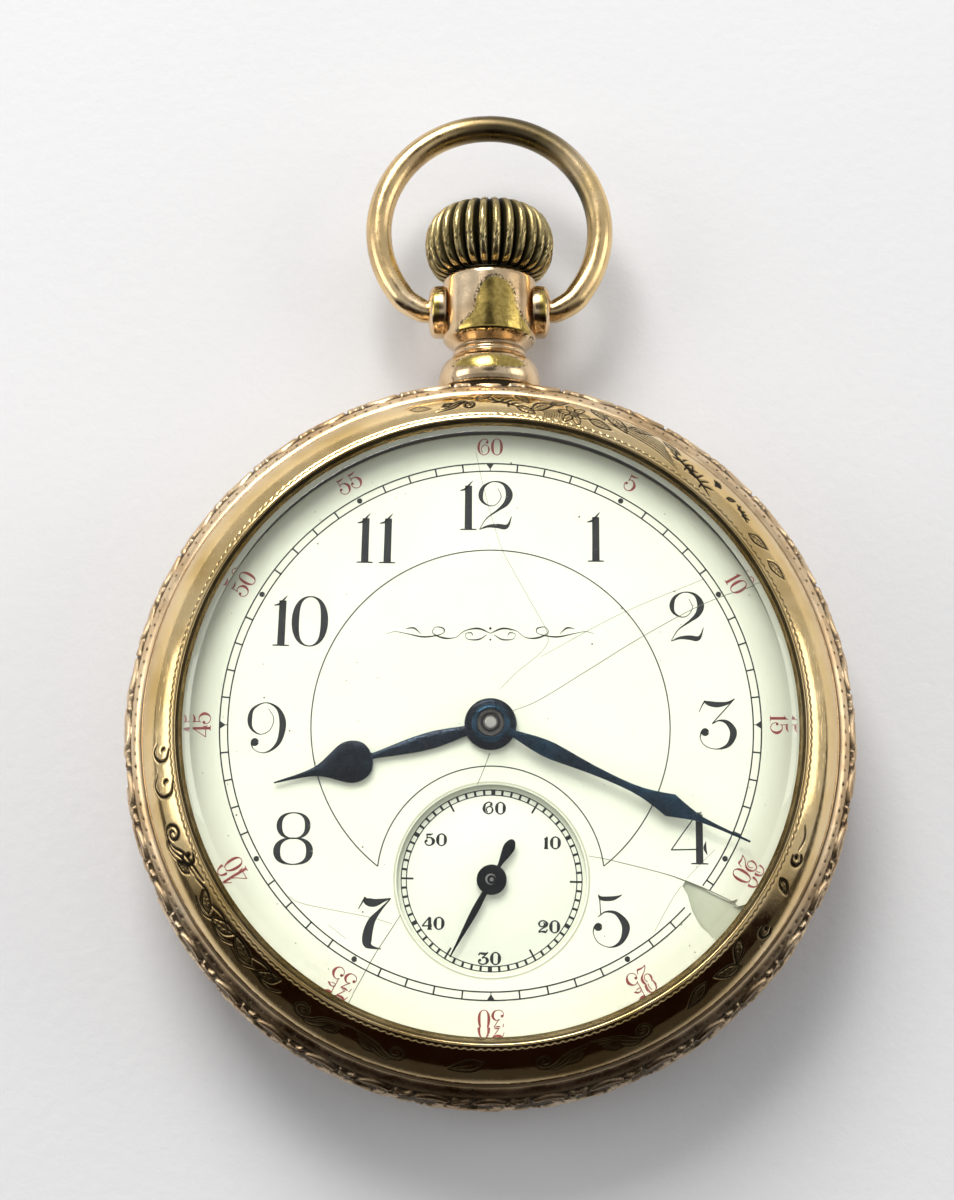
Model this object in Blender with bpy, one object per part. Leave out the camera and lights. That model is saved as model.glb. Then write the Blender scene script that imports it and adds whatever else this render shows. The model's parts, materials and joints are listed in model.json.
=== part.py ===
"""Open-face pocket watch: screwed case, pendant, bow and crown, dial, hands and going train.

Lengths below are in millimetres, and meshes are scaled to metres when they are made.
The watch lies on its back: +Z leaves the dial, +Y points to 12 o'clock and +X to 3 o'clock.
"""

import math

import bmesh
import bpy
from mathutils import Vector
from mathutils.geometry import tessellate_polygon

MM = 0.001

# Case
CASE_RADIUS = 28.0
CASE_MID_Z = 6.4
SEAM_RADIUS = 26.05
SEAM_HALF = 4.05
SEAM_GAP = 0.3
SHELL = 0.75
REST_RADIUS = 13.5
THREAD_RADIUS = 25.0
THREAD_WALL = 1.0
THREAD_RISE = 1.15
OUTER_STEPS = 6
CAVITY_RADIUS = 22.9
LEDGE_RADIUS = 21.5
LEDGE_BOTTOM = 8.2
LEDGE_TOP = 9.0
RING_SEGMENTS = 40

# Bezel and glass
LIP_RADIUS = 22.95
LIP_Z = 13.8
SEAT_RADIUS = 22.45
SEAT_BOTTOM = 12.55
SEAT_TOP = 13.3
GLASS_RADIUS = 22.65
GLASS_FLAT_RADIUS = 22.0
GLASS_BOTTOM = 13.6
GLASS_TOP = 14.5

# Pendant, crown and bow, all on one axis along +Y
PENDANT_Z = 6.1
NECK_RADIUS = 3.74
NECK_END = 37.0
COLLAR_RADIUS = 4.05
COLLAR_TOP = 31.0
GROOVE_RADIUS = 3.2
PENDANT_BORE = 2.4
SADDLE_GAP = 0.3
BOSS_Y = 34.4
BOSS_RADIUS = 2.1
BOSS_REACH = 4.85
BOW_PIVOT_RADIUS = 0.6
BOW_HOLE_RADIUS = 0.95
BOW_TUBE_RADIUS = 1.05
BOW_RING_RADIUS = 8.95
BOW_TOP = 51.3
BOW_END_X = 4.1
CROWN_RADIUS = 5.2
CROWN_START = 37.35
CROWN_END = 43.2
CROWN_FLUTES = 28
STEM_RADIUS = 0.8
STEM_INNER_Y = 15.9

# Movement levels
PLATE_BOTTOM = 8.0
PLATE_TOP = 9.6
PLATE_RADIUS = 21.1
FLANGE_RADIUS = 22.4
FLANGE_BOTTOM = 9.3
FLANGE_TOP = 10.6
BRIDGE_BOTTOM = 2.3
BRIDGE_TOP = 3.9
BRIDGE_RADIUS = 20.7
PILLAR_RADIUS = 1.35
PILLAR_FOOT = 4.2
SCREW_HEAD_RADIUS = 1.0
SCREW_HEAD_RISE = 0.45
SCREW_SHANK_RADIUS = 0.5
SCREW_CLEARANCE = 0.15
PIVOT_HOLE = 0.35
ARBOR_RADIUS = 0.4

# Dial and hands
DIAL_RADIUS = 22.33
DIAL_BOTTOM = 11.3
DIAL_TOP = 11.9
SECONDS_Y = -11.35
SECONDS_OPENING = 6.9
SECONDS_DISC_RADIUS = 7.4
SECONDS_DISC_BOTTOM = 10.7
SECONDS_DISC_TOP = 11.25
HOUR_HAND_Z = (12.15, 12.4)
MINUTE_HAND_Z = (12.7, 12.95)
SECONDS_HAND_Z = (11.65, 11.85)
HOUR_ANGLE = math.radians(195.3)
MINUTE_ANGLE = math.radians(-24.8)
SECONDS_ANGLE = math.radians(241.4)

# Going train: teeth, and modules that give the distances between arbors
BARREL_TEETH, CENTER_LEAVES, BARREL_MODULE = 72, 12, 0.24
CENTER_TEETH, THIRD_LEAVES, CENTER_MODULE = 64, 8, 0.20
THIRD_TEETH, FOURTH_LEAVES, THIRD_MODULE = 60, 8, 0.18
FOURTH_TEETH, ESCAPE_LEAVES, FOURTH_MODULE = 70, 7, 0.15
CANNON_LEAVES, MINUTE_TEETH, MOTION_MODULE = 12, 36, 0.20
MINUTE_LEAVES, HOUR_TEETH = 12, 48
SETTING_TEETH = 30
RATCHET_TEETH, CROWN_TEETH, WINDING_MODULE = 32, 28, 0.28667
WINDING_LEAVES = 14
ESCAPE_TEETH = 15
LEAVES = 0.0
ESCAPE_RADIUS = 3.9
PALLET_DISTANCE = 4.8
BALANCE_RADIUS = 7.6

# Arbor places
CENTER = (0.0, 0.0)
FOURTH = (0.0, SECONDS_Y)
BALANCE = (12.6, -1.6)
CROWN_WHEEL = (0.0, 14.9)
BARREL_BEARING = math.radians(123.75)
ESCAPE_BEARING = math.radians(10.0)
MINUTE_WHEEL_BEARING = math.radians(60.0)
CLICK = (-12.2, 8.4)
SETTING_WHEEL_BEARING = math.radians(75.0)
SETTING_LEVER = (-3.9, 19.0)
CASE_SCREW_BEARINGS = (150.0, 330.0)
CASE_SCREW_RING = 20.55
DIAL_FEET_BEARINGS = (35.0, 160.0, 225.0)
DIAL_FEET_RING = 18.6
DIAL_FOOT_RADIUS = 0.45
PILLARS = {
    "barrel_bridge": [(-16.8, 1.5), (-14.2, 14.2), (5.6, 17.9)],
    "train_bridge": [(-13.5, -11.5), (7.0, -17.8), (-9.9, -2.2)],
    "balance_cock": [(18.9, 5.6)],
}
PALLET_FOOT = (14.2, -12.4)

MATERIALS = {
    "case_gold": ((0.78, 0.55, 0.30), 0.28, 1.0),
    "bow_gold": ((0.76, 0.52, 0.32), 0.25, 1.0),
    "crown_brass": ((0.60, 0.46, 0.20), 0.32, 1.0),
    "nickel": ((0.72, 0.71, 0.68), 0.32, 1.0),
    "brass": ((0.75, 0.56, 0.26), 0.35, 1.0),
    "steel": ((0.62, 0.62, 0.64), 0.25, 1.0),
    "blued_steel": ((0.03, 0.05, 0.10), 0.25, 1.0),
    "enamel": ((0.88, 0.88, 0.82), 0.15, 0.0),
    "glass": ((0.95, 0.97, 0.96), 0.02, 0.0),
}


def clear_scene():
    for item in list(bpy.data.objects):
        bpy.data.objects.remove(item, do_unlink=True)


def make_materials():
    for name, (color, roughness, metallic) in MATERIALS.items():
        material = bpy.data.materials.new(name)
        material.use_nodes = True
        shader = material.node_tree.nodes["Principled BSDF"]
        shader.inputs["Base Color"].default_value = (*color, 1.0)
        shader.inputs["Roughness"].default_value = roughness
        shader.inputs["Metallic"].default_value = metallic


def add_object(name, mesh, material, at=(0.0, 0.0, 0.0), parent=None):
    thing = bpy.data.objects.new(name, mesh)
    bpy.context.scene.collection.objects.link(thing)
    thing.location = Vector(at) * MM
    thing.parent = parent
    if material:
        mesh.materials.append(bpy.data.materials[material])
    return thing


def smooth(mesh, angle=30.0):
    mesh.shade_smooth()
    mesh.set_sharp_from_angle(angle=math.radians(angle))


def make_mesh(name, points, faces):
    mesh = bpy.data.meshes.new(name)
    mesh.from_pydata([Vector(p) * MM for p in points], [], faces)
    work = bmesh.new()
    work.from_mesh(mesh)
    bmesh.ops.recalc_face_normals(work, faces=work.faces)
    work.to_mesh(mesh)
    work.free()
    smooth(mesh)
    return mesh


def circle(radius, count, center=(0.0, 0.0), phase=0.0):
    step = 2 * math.pi / count
    return [
        (
            center[0] + radius * math.cos(phase + i * step),
            center[1] + radius * math.sin(phase + i * step),
        )
        for i in range(count)
    ]


def polar(radius, bearing, center=(0.0, 0.0)):
    return (center[0] + radius * math.cos(bearing), center[1] + radius * math.sin(bearing))


def arc(radius, start, end, count, center=(0.0, 0.0)):
    """Points along an arc from one bearing in degrees to another, both ends included."""
    return [
        polar(radius, math.radians(start + (end - start) * i / (count - 1)), center)
        for i in range(count)
    ]


def bearing(start, end):
    return math.atan2(end[1] - start[1], end[0] - start[0])


def toothed(teeth, pitch_radius, module, phase=0.0, addendum=0.75, dedendum=0.95):
    """A gear's outline with pointed teeth, one of them centred on the bearing phase."""
    points = []
    for i in range(2 * teeth):
        radius = pitch_radius + module * (-dedendum if i % 2 else addendum)
        points.append(polar(radius, phase + math.pi * i / teeth))
    return points


def plate_mesh(name, outline, holes, bottom, top):
    """A flat plate with holes, closed all round."""
    loops = [outline, *holes]
    flat = [point for loop in loops for point in loop]
    count = len(flat)
    caps = tessellate_polygon([[Vector((x, y, 0.0)) for x, y in loop] for loop in loops])
    points = [(x, y, bottom) for x, y in flat] + [(x, y, top) for x, y in flat]
    faces = [tuple(face) for face in caps] + [tuple(i + count for i in face) for face in caps]
    start = 0
    for loop in loops:
        size = len(loop)
        for i in range(size):
            a, b = start + i, start + (i + 1) % size
            faces.append((a, b, b + count, a + count))
        start += size
    return make_mesh(name, points, faces)


def plate(name, material, outline, holes, bottom, top, at=(0.0, 0.0, 0.0), parent=None):
    return add_object(name, plate_mesh(name, outline, holes, bottom, top), material, at, parent)


def stack_mesh(name, rings, closed):
    """Skin over a list of (outline, height). Closed joins the last ring to the first, for a bore."""
    size = len(rings[0][0])
    points = [(x, y, z) for outline, z in rings for x, y in outline]
    faces = []
    spans = len(rings) if closed else len(rings) - 1
    for r in range(spans):
        low, high = r * size, ((r + 1) % len(rings)) * size
        for i in range(size):
            j = (i + 1) % size
            faces.append((low + i, low + j, high + j, high + i))
    if not closed:
        faces.append(tuple(range(size)))
        faces.append(tuple(range((len(rings) - 1) * size, len(rings) * size)))
    return make_mesh(name, points, faces)


def stack(name, material, rings, at=(0.0, 0.0, 0.0), parent=None, closed=False):
    return add_object(name, stack_mesh(name, rings, closed), material, at, parent)


def turned(name, material, profile, segments, at=(0.0, 0.0, 0.0), parent=None, closed=True):
    """A profile of (radius, height) points turned about +Z."""
    rings = [(circle(radius, segments), z) for radius, z in profile]
    return stack(name, material, rings, at, parent, closed)


def along_y(thing):
    """Turns a piece made about +Z so that it lies along +Y."""
    thing.rotation_euler = (math.radians(-90.0), 0.0, 0.0)
    return thing


def axis_empty(name, at, parent=None):
    empty = bpy.data.objects.new(name, None)
    bpy.context.scene.collection.objects.link(empty)
    empty.location = Vector(at) * MM
    empty.parent = parent
    return empty


def hide_tool(tool):
    tool.hide_render = True
    tool.display_type = "WIRE"
    return tool


def combine(thing, tool, operation):
    hide_tool(tool)
    modifier = thing.modifiers.new(tool.name, "BOOLEAN")
    modifier.operation = operation
    modifier.object = tool


def train_places():
    """Where each arbor of the train stands, from the gears' modules and bearings."""
    barrel = polar(BARREL_MODULE * (BARREL_TEETH + CENTER_LEAVES) / 2, BARREL_BEARING)
    to_center = CENTER_MODULE * (CENTER_TEETH + THIRD_LEAVES) / 2
    to_fourth = THIRD_MODULE * (THIRD_TEETH + FOURTH_LEAVES) / 2
    span = -SECONDS_Y
    drop = (to_center**2 + span**2 - to_fourth**2) / (2 * span)
    third = (-math.sqrt(to_center**2 - drop**2), -drop)
    reach = FOURTH_MODULE * (FOURTH_TEETH + ESCAPE_LEAVES) / 2
    escape = polar(reach, ESCAPE_BEARING, FOURTH)
    pallet = polar(PALLET_DISTANCE, bearing(escape, BALANCE), escape)
    minute = polar(MOTION_MODULE * (CANNON_LEAVES + MINUTE_TEETH) / 2, MINUTE_WHEEL_BEARING)
    setting = polar(MOTION_MODULE * (MINUTE_TEETH + SETTING_TEETH) / 2, SETTING_WHEEL_BEARING, minute)
    return {
        "barrel": barrel,
        "third": third,
        "escape": escape,
        "pallet": pallet,
        "minute": minute,
        "setting": setting,
    }


PLACES = train_places()


def center_profile():
    """The case centre's section, from the front seam round the outside and back inside."""
    low, high = CASE_MID_Z - SEAM_HALF, CASE_MID_Z + SEAM_HALF
    edge = SEAM_RADIUS + 0.2
    bulge = CASE_RADIUS - edge
    outer = []
    for i in range(OUTER_STEPS + 1):
        t = -1.0 + 2.0 * i / OUTER_STEPS
        outer.append((edge + bulge * math.sqrt(1 - t * t), CASE_MID_Z + SEAM_HALF * t))
    inner_thread = THREAD_RADIUS - THREAD_WALL
    return (
        outer
        + [(THREAD_RADIUS, high), (THREAD_RADIUS, high + THREAD_RISE)]
        + [(inner_thread, high + THREAD_RISE), (inner_thread, LEDGE_TOP)]
        + [(LEDGE_RADIUS, LEDGE_TOP), (LEDGE_RADIUS, LEDGE_BOTTOM)]
        + [(CAVITY_RADIUS, LEDGE_BOTTOM), (CAVITY_RADIUS, low - 0.5)]
        + [(inner_thread, low - 0.6), (THREAD_RADIUS - 0.1, low - 0.3), (THREAD_RADIUS - 0.1, low)]
    )


def make_case():
    center = turned("case_center", "case_gold", center_profile(), RING_SEGMENTS)
    span = [(STEM_RADIUS + 0.35, LEDGE_RADIUS - 1.0), (STEM_RADIUS + 0.35, CASE_RADIUS + 2.0)]
    hole = along_y(turned("stem_hole_cutter", None, span, 16, (0.0, 0.0, PENDANT_Z), closed=False))
    combine(center, hole, "DIFFERENCE")
    seam = CASE_MID_Z - SEAM_HALF - SEAM_GAP
    inner_wall = THREAD_RADIUS + 0.25
    back = [
        (SEAM_RADIUS, seam),
        (SEAM_RADIUS - 0.3, seam - 0.55),
        (24.6, 0.95),
        (20.0, 0.25),
        (REST_RADIUS, 0.0),
    ]
    shell = [(REST_RADIUS, SHELL), (20.0, SHELL + 0.25), (inner_wall, seam - 0.45), (inner_wall, seam)]
    rings = [(circle(radius, RING_SEGMENTS), z) for radius, z in reversed(back)]
    rings += [(circle(radius, RING_SEGMENTS), z) for radius, z in reversed(shell)]
    lift = axis_empty("back_cover_axis", (0.0, 0.0, 0.0))
    stack("back_cover", "case_gold", rings, parent=lift)


def make_bezel():
    lift = axis_empty("bezel_axis", (0.0, 0.0, 0.0))
    seam = CASE_MID_Z + SEAM_HALF + SEAM_GAP
    inner_wall = THREAD_RADIUS + 0.25
    profile = [
        (LIP_RADIUS, LIP_Z),
        (LIP_RADIUS + 0.35, LIP_Z + 0.12),
        (24.3, 13.3),
        (25.3, 12.3),
        (SEAM_RADIUS - 0.1, 11.2),
        (SEAM_RADIUS, seam),
        (inner_wall, seam),
        (inner_wall, 11.85),
        (24.2, 12.25),
        (SEAT_RADIUS, SEAT_BOTTOM),
        (SEAT_RADIUS, SEAT_TOP),
        (LIP_RADIUS, SEAT_TOP),
    ]
    turned("bezel", "case_gold", profile, RING_SEGMENTS, parent=lift)
    bevel_foot = GLASS_TOP - (GLASS_RADIUS - GLASS_FLAT_RADIUS)
    glass = [
        (GLASS_RADIUS, GLASS_BOTTOM),
        (GLASS_RADIUS, bevel_foot),
        (GLASS_FLAT_RADIUS, GLASS_TOP),
    ]
    turned("crystal", "glass", glass, RING_SEGMENTS, parent=lift, closed=False)


def make_pendant():
    profile = [
        (PENDANT_BORE, 24.5),
        (COLLAR_RADIUS - 0.35, 24.5),
        (COLLAR_RADIUS - 0.25, 28.4),
        (COLLAR_RADIUS, 29.6),
        (COLLAR_RADIUS - 0.35, COLLAR_TOP - 0.3),
        (GROOVE_RADIUS, COLLAR_TOP),
        (GROOVE_RADIUS, COLLAR_TOP + 0.5),
        (NECK_RADIUS, COLLAR_TOP + 1.3),
        (NECK_RADIUS, NECK_END - 0.25),
        (NECK_RADIUS - 0.25, NECK_END),
        (PENDANT_BORE, NECK_END),
    ]
    pendant = along_y(turned("pendant", "case_gold", profile, 24, (0.0, 0.0, PENDANT_Z)))
    clearance = [
        (radius + SADDLE_GAP, z) for radius, z in center_profile()[: OUTER_STEPS + 1]
    ]
    envelope = [(0.01, clearance[0][1] - 4.0), (clearance[0][0], clearance[0][1] - 4.0), *clearance]
    envelope += [(clearance[-1][0], clearance[-1][1] + 4.0), (0.01, clearance[-1][1] + 4.0)]
    saddle = turned("saddle_cutter", None, envelope, RING_SEGMENTS, closed=False)
    for side, label in ((-1, "left"), (1, "right")):
        reach = [(BOSS_RADIUS, 2.7), (BOSS_RADIUS, BOSS_REACH - 0.3), (BOSS_RADIUS - 0.3, BOSS_REACH)]
        boss = turned("boss_" + label, None, reach, 16, (0.0, BOSS_Y, PENDANT_Z), closed=False)
        boss.rotation_euler = (0.0, side * math.radians(90.0), 0.0)
        combine(pendant, boss, "UNION")
    bore_run = [(PENDANT_BORE, 20.0), (PENDANT_BORE, 45.0)]
    bore = turned("pendant_bore_cutter", None, bore_run, 24, (0.0, 0.0, PENDANT_Z), closed=False)
    combine(pendant, along_y(bore), "DIFFERENCE")
    for side, label in ((-1, "left"), (1, "right")):
        span = [(BOW_HOLE_RADIUS, BOW_END_X - 0.3), (BOW_HOLE_RADIUS, BOSS_REACH + 1.0)]
        hole = turned("bow_hole_cutter_" + label, None, span, 10, (0.0, BOSS_Y, PENDANT_Z), closed=False)
        hole.rotation_euler = (0.0, side * math.radians(90.0), 0.0)
        combine(pendant, hole, "DIFFERENCE")
    combine(pendant, saddle, "DIFFERENCE")
    sleeve = [
        (1.25, CASE_RADIUS + 1.0),
        (PENDANT_BORE - 0.3, CASE_RADIUS + 1.0),
        (PENDANT_BORE - 0.3, NECK_END - 1.2),
        (1.25, NECK_END - 1.2),
    ]
    along_y(turned("pendant_sleeve", "steel", sleeve, 24, (0.0, 0.0, PENDANT_Z)))


def make_bow():
    pivot = axis_empty("bow_axis", (0.0, BOSS_Y, PENDANT_Z))
    ring_y = BOW_TOP - BOW_TUBE_RADIUS - BOW_RING_RADIUS - BOSS_Y
    foot_bearing = math.degrees(math.asin((0.55 - ring_y) / BOW_RING_RADIUS))
    ring = arc(BOW_RING_RADIUS, foot_bearing, 180.0 - foot_bearing, 25, (0.0, ring_y))
    pin = [(BOW_END_X, 0.0), (BOSS_REACH + 0.05, 0.0), (BOSS_REACH + 0.35, 0.02)]
    path = pin + ring + [(-x, y) for x, y in reversed(pin)]
    thick = [BOW_PIVOT_RADIUS, BOW_PIVOT_RADIUS, BOW_PIVOT_RADIUS * 1.15]
    radii = thick + [BOW_TUBE_RADIUS] * len(ring) + thick[::-1]
    curve = bpy.data.curves.new("bow", "CURVE")
    curve.dimensions = "3D"
    curve.bevel_depth = MM
    curve.bevel_resolution = 2
    curve.use_fill_caps = True
    spline = curve.splines.new("POLY")
    spline.points.add(len(path) - 1)
    for point, (x, y), radius in zip(spline.points, path, radii):
        point.co = (x * MM, y * MM, 0.0, 1.0)
        point.radius = radius
    bow = bpy.data.objects.new("bow", curve)
    bpy.context.scene.collection.objects.link(bow)
    curve.materials.append(bpy.data.materials["bow_gold"])
    bow.parent = pivot


def fluted(radius, depth):
    """A crown's outline: round ribs with narrow grooves between them."""
    points = []
    for i in range(3 * CROWN_FLUTES):
        inset = (depth, 0.0, 0.0)[i % 3]
        points.append(polar(radius - inset, 2 * math.pi * i / (3 * CROWN_FLUTES)))
    return points


def make_crown():
    turn = axis_empty("winding_axis", (0.0, 0.0, PENDANT_Z))
    pull = axis_empty("crown_pull_axis", (0.0, 0.0, 0.0), turn)
    sides = 3 * CROWN_FLUTES
    length = CROWN_END - CROWN_START
    rings = [
        (circle(3.2, sides), CROWN_START),
        (fluted(4.15, 0.1), CROWN_START),
        (fluted(CROWN_RADIUS - 0.15, 0.35), CROWN_START + 0.28 * length),
        (fluted(CROWN_RADIUS, 0.42), CROWN_START + 0.5 * length),
        (fluted(CROWN_RADIUS - 0.3, 0.38), CROWN_START + 0.75 * length),
        (fluted(CROWN_RADIUS - 1.15, 0.2), CROWN_START + 0.93 * length),
        (circle(3.1, sides), CROWN_END),
    ]
    along_y(stack("crown", "crown_brass", rings, parent=pull))
    tip = CROWN_START - 0.1
    stem = [
        (STEM_RADIUS * 0.6, STEM_INNER_Y),
        (STEM_RADIUS, STEM_INNER_Y + 0.3),
        (STEM_RADIUS, tip),
    ]
    along_y(turned("winding_stem", "steel", stem, 16, parent=pull, closed=False))
    bore = STEM_RADIUS + 0.12
    pinion_radius = 1.7
    leaves = toothed(WINDING_LEAVES, pinion_radius - 0.15, 0.2)
    hole = circle(bore, 2 * WINDING_LEAVES)
    pinion = [(leaves, 17.0), (leaves, 18.4), (hole, 18.4), (hole, 17.0)]
    along_y(stack("winding_pinion", "steel", pinion, parent=turn, closed=True))


def screw(name, place, head_bottom, shank_top, head_radius=SCREW_HEAD_RADIUS):
    """A slotted screw put in from the back: its head hangs below head_bottom."""
    sides = 10
    head_base = head_bottom - SCREW_HEAD_RISE
    rings = [
        (circle(head_radius, sides), head_base),
        (circle(head_radius, sides), head_bottom),
        (circle(SCREW_SHANK_RADIUS, sides), head_bottom),
        (circle(SCREW_SHANK_RADIUS, sides), shank_top),
    ]
    body = stack(name, "blued_steel", rings, (*place, 0.0))
    half = head_radius + 0.2
    slot = [(-half, -0.13), (half, -0.13), (half, 0.13), (-half, 0.13)]
    cutter = plate(name + "_slot", None, slot, [], head_base - 0.2, head_base + 0.2, (*place, 0.0))
    combine(body, cutter, "DIFFERENCE")


def make_pillar_plate():
    profile = [
        (PLATE_RADIUS, PLATE_BOTTOM),
        (PLATE_RADIUS, FLANGE_BOTTOM),
        (FLANGE_RADIUS, FLANGE_BOTTOM),
        (FLANGE_RADIUS, FLANGE_TOP),
        (FLANGE_RADIUS - 1.2, FLANGE_TOP),
        (FLANGE_RADIUS - 1.2, PLATE_TOP),
    ]
    base = turned("pillar_plate", "nickel", profile, RING_SEGMENTS, closed=False)
    pillars = [place for places in PILLARS.values() for place in places] + [PALLET_FOOT]
    for i, place in enumerate(pillars):
        foot = PILLAR_FOOT if place != PALLET_FOOT else 6.5
        shape = [(PILLAR_RADIUS, foot), (PILLAR_RADIUS, PLATE_BOTTOM + 0.5)]
        pillar = turned(f"pillar_{i}", None, shape, 12, (*place, 0.0), closed=False)
        combine(base, pillar, "UNION")
    for label in ("minute", "setting"):
        shape = [(ARBOR_RADIUS, 9.0), (ARBOR_RADIUS, 10.7)]
        post = turned(f"{label}_wheel_post", None, shape, 12, (*PLACES[label], 0.0), closed=False)
        combine(base, post, "UNION")
    pivots = [
        (CENTER, 1.0),
        (PLACES["third"], PIVOT_HOLE),
        (FOURTH, ARBOR_RADIUS + 0.2),
        (PLACES["escape"], PIVOT_HOLE),
        (PLACES["pallet"], PIVOT_HOLE),
        (BALANCE, PIVOT_HOLE),
        (PLACES["barrel"], 1.2),
    ]
    for i, (place, radius) in enumerate(pivots):
        shape = [(radius, 7.0), (radius, 11.0)]
        hole = turned(f"plate_hole_{i}", None, shape, 10, (*place, 0.0), closed=False)
        combine(base, hole, "DIFFERENCE")
    clear = SCREW_SHANK_RADIUS + SCREW_CLEARANCE
    threads = [(place, 3.5, 6.2) for place in pillars[:-1]]
    threads += [(place, 7.0, 11.0) for place in case_screw_places() + dial_feet_places()]
    for i, (place, low, high) in enumerate(threads):
        shape = [(clear, low), (clear, high)]
        hole = turned(f"screw_hole_{i}", None, shape, 8, (*place, 0.0), closed=False)
        combine(base, hole, "DIFFERENCE")


def case_screw_places():
    return [polar(CASE_SCREW_RING, math.radians(angle)) for angle in CASE_SCREW_BEARINGS]


def dial_feet_places():
    return [polar(DIAL_FEET_RING, math.radians(angle)) for angle in DIAL_FEET_BEARINGS]


def bridge(name, outline, pivots):
    clear = SCREW_SHANK_RADIUS + SCREW_CLEARANCE
    holes = [circle(radius, 16, place) for place, radius in pivots]
    holes += [circle(clear, 12, place) for place in PILLARS[name]]
    plate(name, "nickel", outline, holes, BRIDGE_BOTTOM, BRIDGE_TOP)
    for i, place in enumerate(PILLARS[name]):
        screw(f"{name}_screw_{i + 1}", place, BRIDGE_BOTTOM - 0.1, 6.0)


def make_bridges():
    rim = BRIDGE_RADIUS
    lobe = 3.4
    barrel_outline = arc(rim, 48.0, 190.0, 25) + [(-9.0, 0.6), (-4.3, 0.6)]
    barrel_outline += arc(lobe + 0.9, 158.0, 62.0, 6) + [(7.4, 9.0)]
    bridge(
        "barrel_bridge",
        barrel_outline,
        [(PLACES["barrel"], 1.5), (CROWN_WHEEL, 2.75)],
    )
    train_outline = arc(rim, 193.0, 312.0, 22) + [(8.2, -8.9), (3.6, -3.4)]
    train_outline += arc(lobe, -20.0, 150.0, 10) + [(-4.4, 0.0), (-9.3, 0.0)]
    small_pivots = [(place, PIVOT_HOLE) for place in (PLACES["third"], FOURTH, PLACES["escape"])]
    bridge("train_bridge", train_outline, [(CENTER, PIVOT_HOLE + 0.1), *small_pivots])
    cock_outline = arc(rim, 6.0, 32.0, 8) + [(12.6, 5.2), (9.4, 1.4)] + arc(3.2, 150.0, 350.0, 12, BALANCE)
    bridge("balance_cock", cock_outline, [(BALANCE, PIVOT_HOLE)])
    pallet = PLACES["pallet"]
    out = math.degrees(bearing(pallet, PALLET_FOOT))
    bar = arc(1.25, out + 90.0, out + 270.0, 9, pallet) + arc(1.6, out - 90.0, out + 90.0, 9, PALLET_FOOT)
    plate("pallet_bridge", "nickel", bar, [circle(PIVOT_HOLE, 12, pallet)], 5.8, 6.2)
    for i, place in enumerate(case_screw_places()):
        screw(f"case_screw_{i + 1}", place, PLATE_BOTTOM - 0.15, PLATE_TOP - 0.4, 1.35)


def pinion_rings(count, module, facing, profile):
    """Rings for a pinion with its arbor. A radius of LEAVES in the profile stands for the leaves,
    which keep a gap, not a leaf, on the bearing that faces their wheel."""
    phase = facing + math.pi / count
    leaves = toothed(count, module * count / 2, module, phase)
    return [
        (leaves if radius == LEAVES else circle(radius, 2 * count, phase=phase), z)
        for radius, z in profile
    ]


def wheel(name, teeth, module, facing, span, parent, bore, spokes=5, material="brass"):
    radius = module * teeth / 2
    outline = toothed(teeth, radius, module, facing)
    holes = [circle(bore, 10)]
    inner, outer = 0.26 * radius + 0.35, radius - module - 0.75
    half = math.radians(180.0 / spokes)
    for i in range(spokes):
        middle = 2 * math.pi * i / spokes
        wide, narrow = half * 0.84, half * 0.55
        window = [polar(inner, middle + narrow), polar(inner, middle - narrow)]
        window += [polar(outer, middle + wide * t) for t in (-1, -0.33, 0.33, 1)]
        holes.append(window)
    return plate(name, material, outline, holes, *span, parent=parent)


def make_center():
    turn = axis_empty("center_axis", (0.0, 0.0, 0.0))
    profile = [
        (0.3, 2.5),
        (0.3, 4.15),
        (0.9, 4.15),
        (0.9, 4.7),
        (LEAVES, 4.7),
        (LEAVES, 6.95),
        (0.8, 6.95),
        (0.8, 7.9),
        (0.55, 7.9),
        (0.55, 13.1),
        (0.35, 13.25),
    ]
    rings = pinion_rings(CENTER_LEAVES, BARREL_MODULE, BARREL_BEARING, profile)
    stack("center_arbor", "steel", rings, parent=turn)
    to_third = bearing(CENTER, PLACES["third"])
    wheel("center_wheel", CENTER_TEETH, CENTER_MODULE, to_third, (7.25, 7.6), turn, 0.95)
    profile = [(LEAVES, 9.8), (LEAVES, 10.2), (0.8, 10.2), (0.8, 12.95), (0.65, 12.95), (0.65, 9.8)]
    rings = pinion_rings(CANNON_LEAVES, MOTION_MODULE, MINUTE_WHEEL_BEARING, profile)
    stack("cannon_pinion", "steel", rings, parent=turn, closed=True)
    minute_hand = [(-1.6, -0.35), (-0.9, -1.5), (0.9, -1.5), (1.9, -0.42), (5.0, -0.62), (9.5, -0.2)]
    minute_hand += [(14.7, -0.56), (17.2, -0.12), (20.4, -0.04)]
    outline = minute_hand + [(x, -y) for x, y in reversed(minute_hand)]
    hand = plate("minute_hand", "blued_steel", outline, [circle(0.9, 16)], *MINUTE_HAND_Z, parent=turn)
    hand.rotation_euler = (0.0, 0.0, MINUTE_ANGLE)


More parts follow.
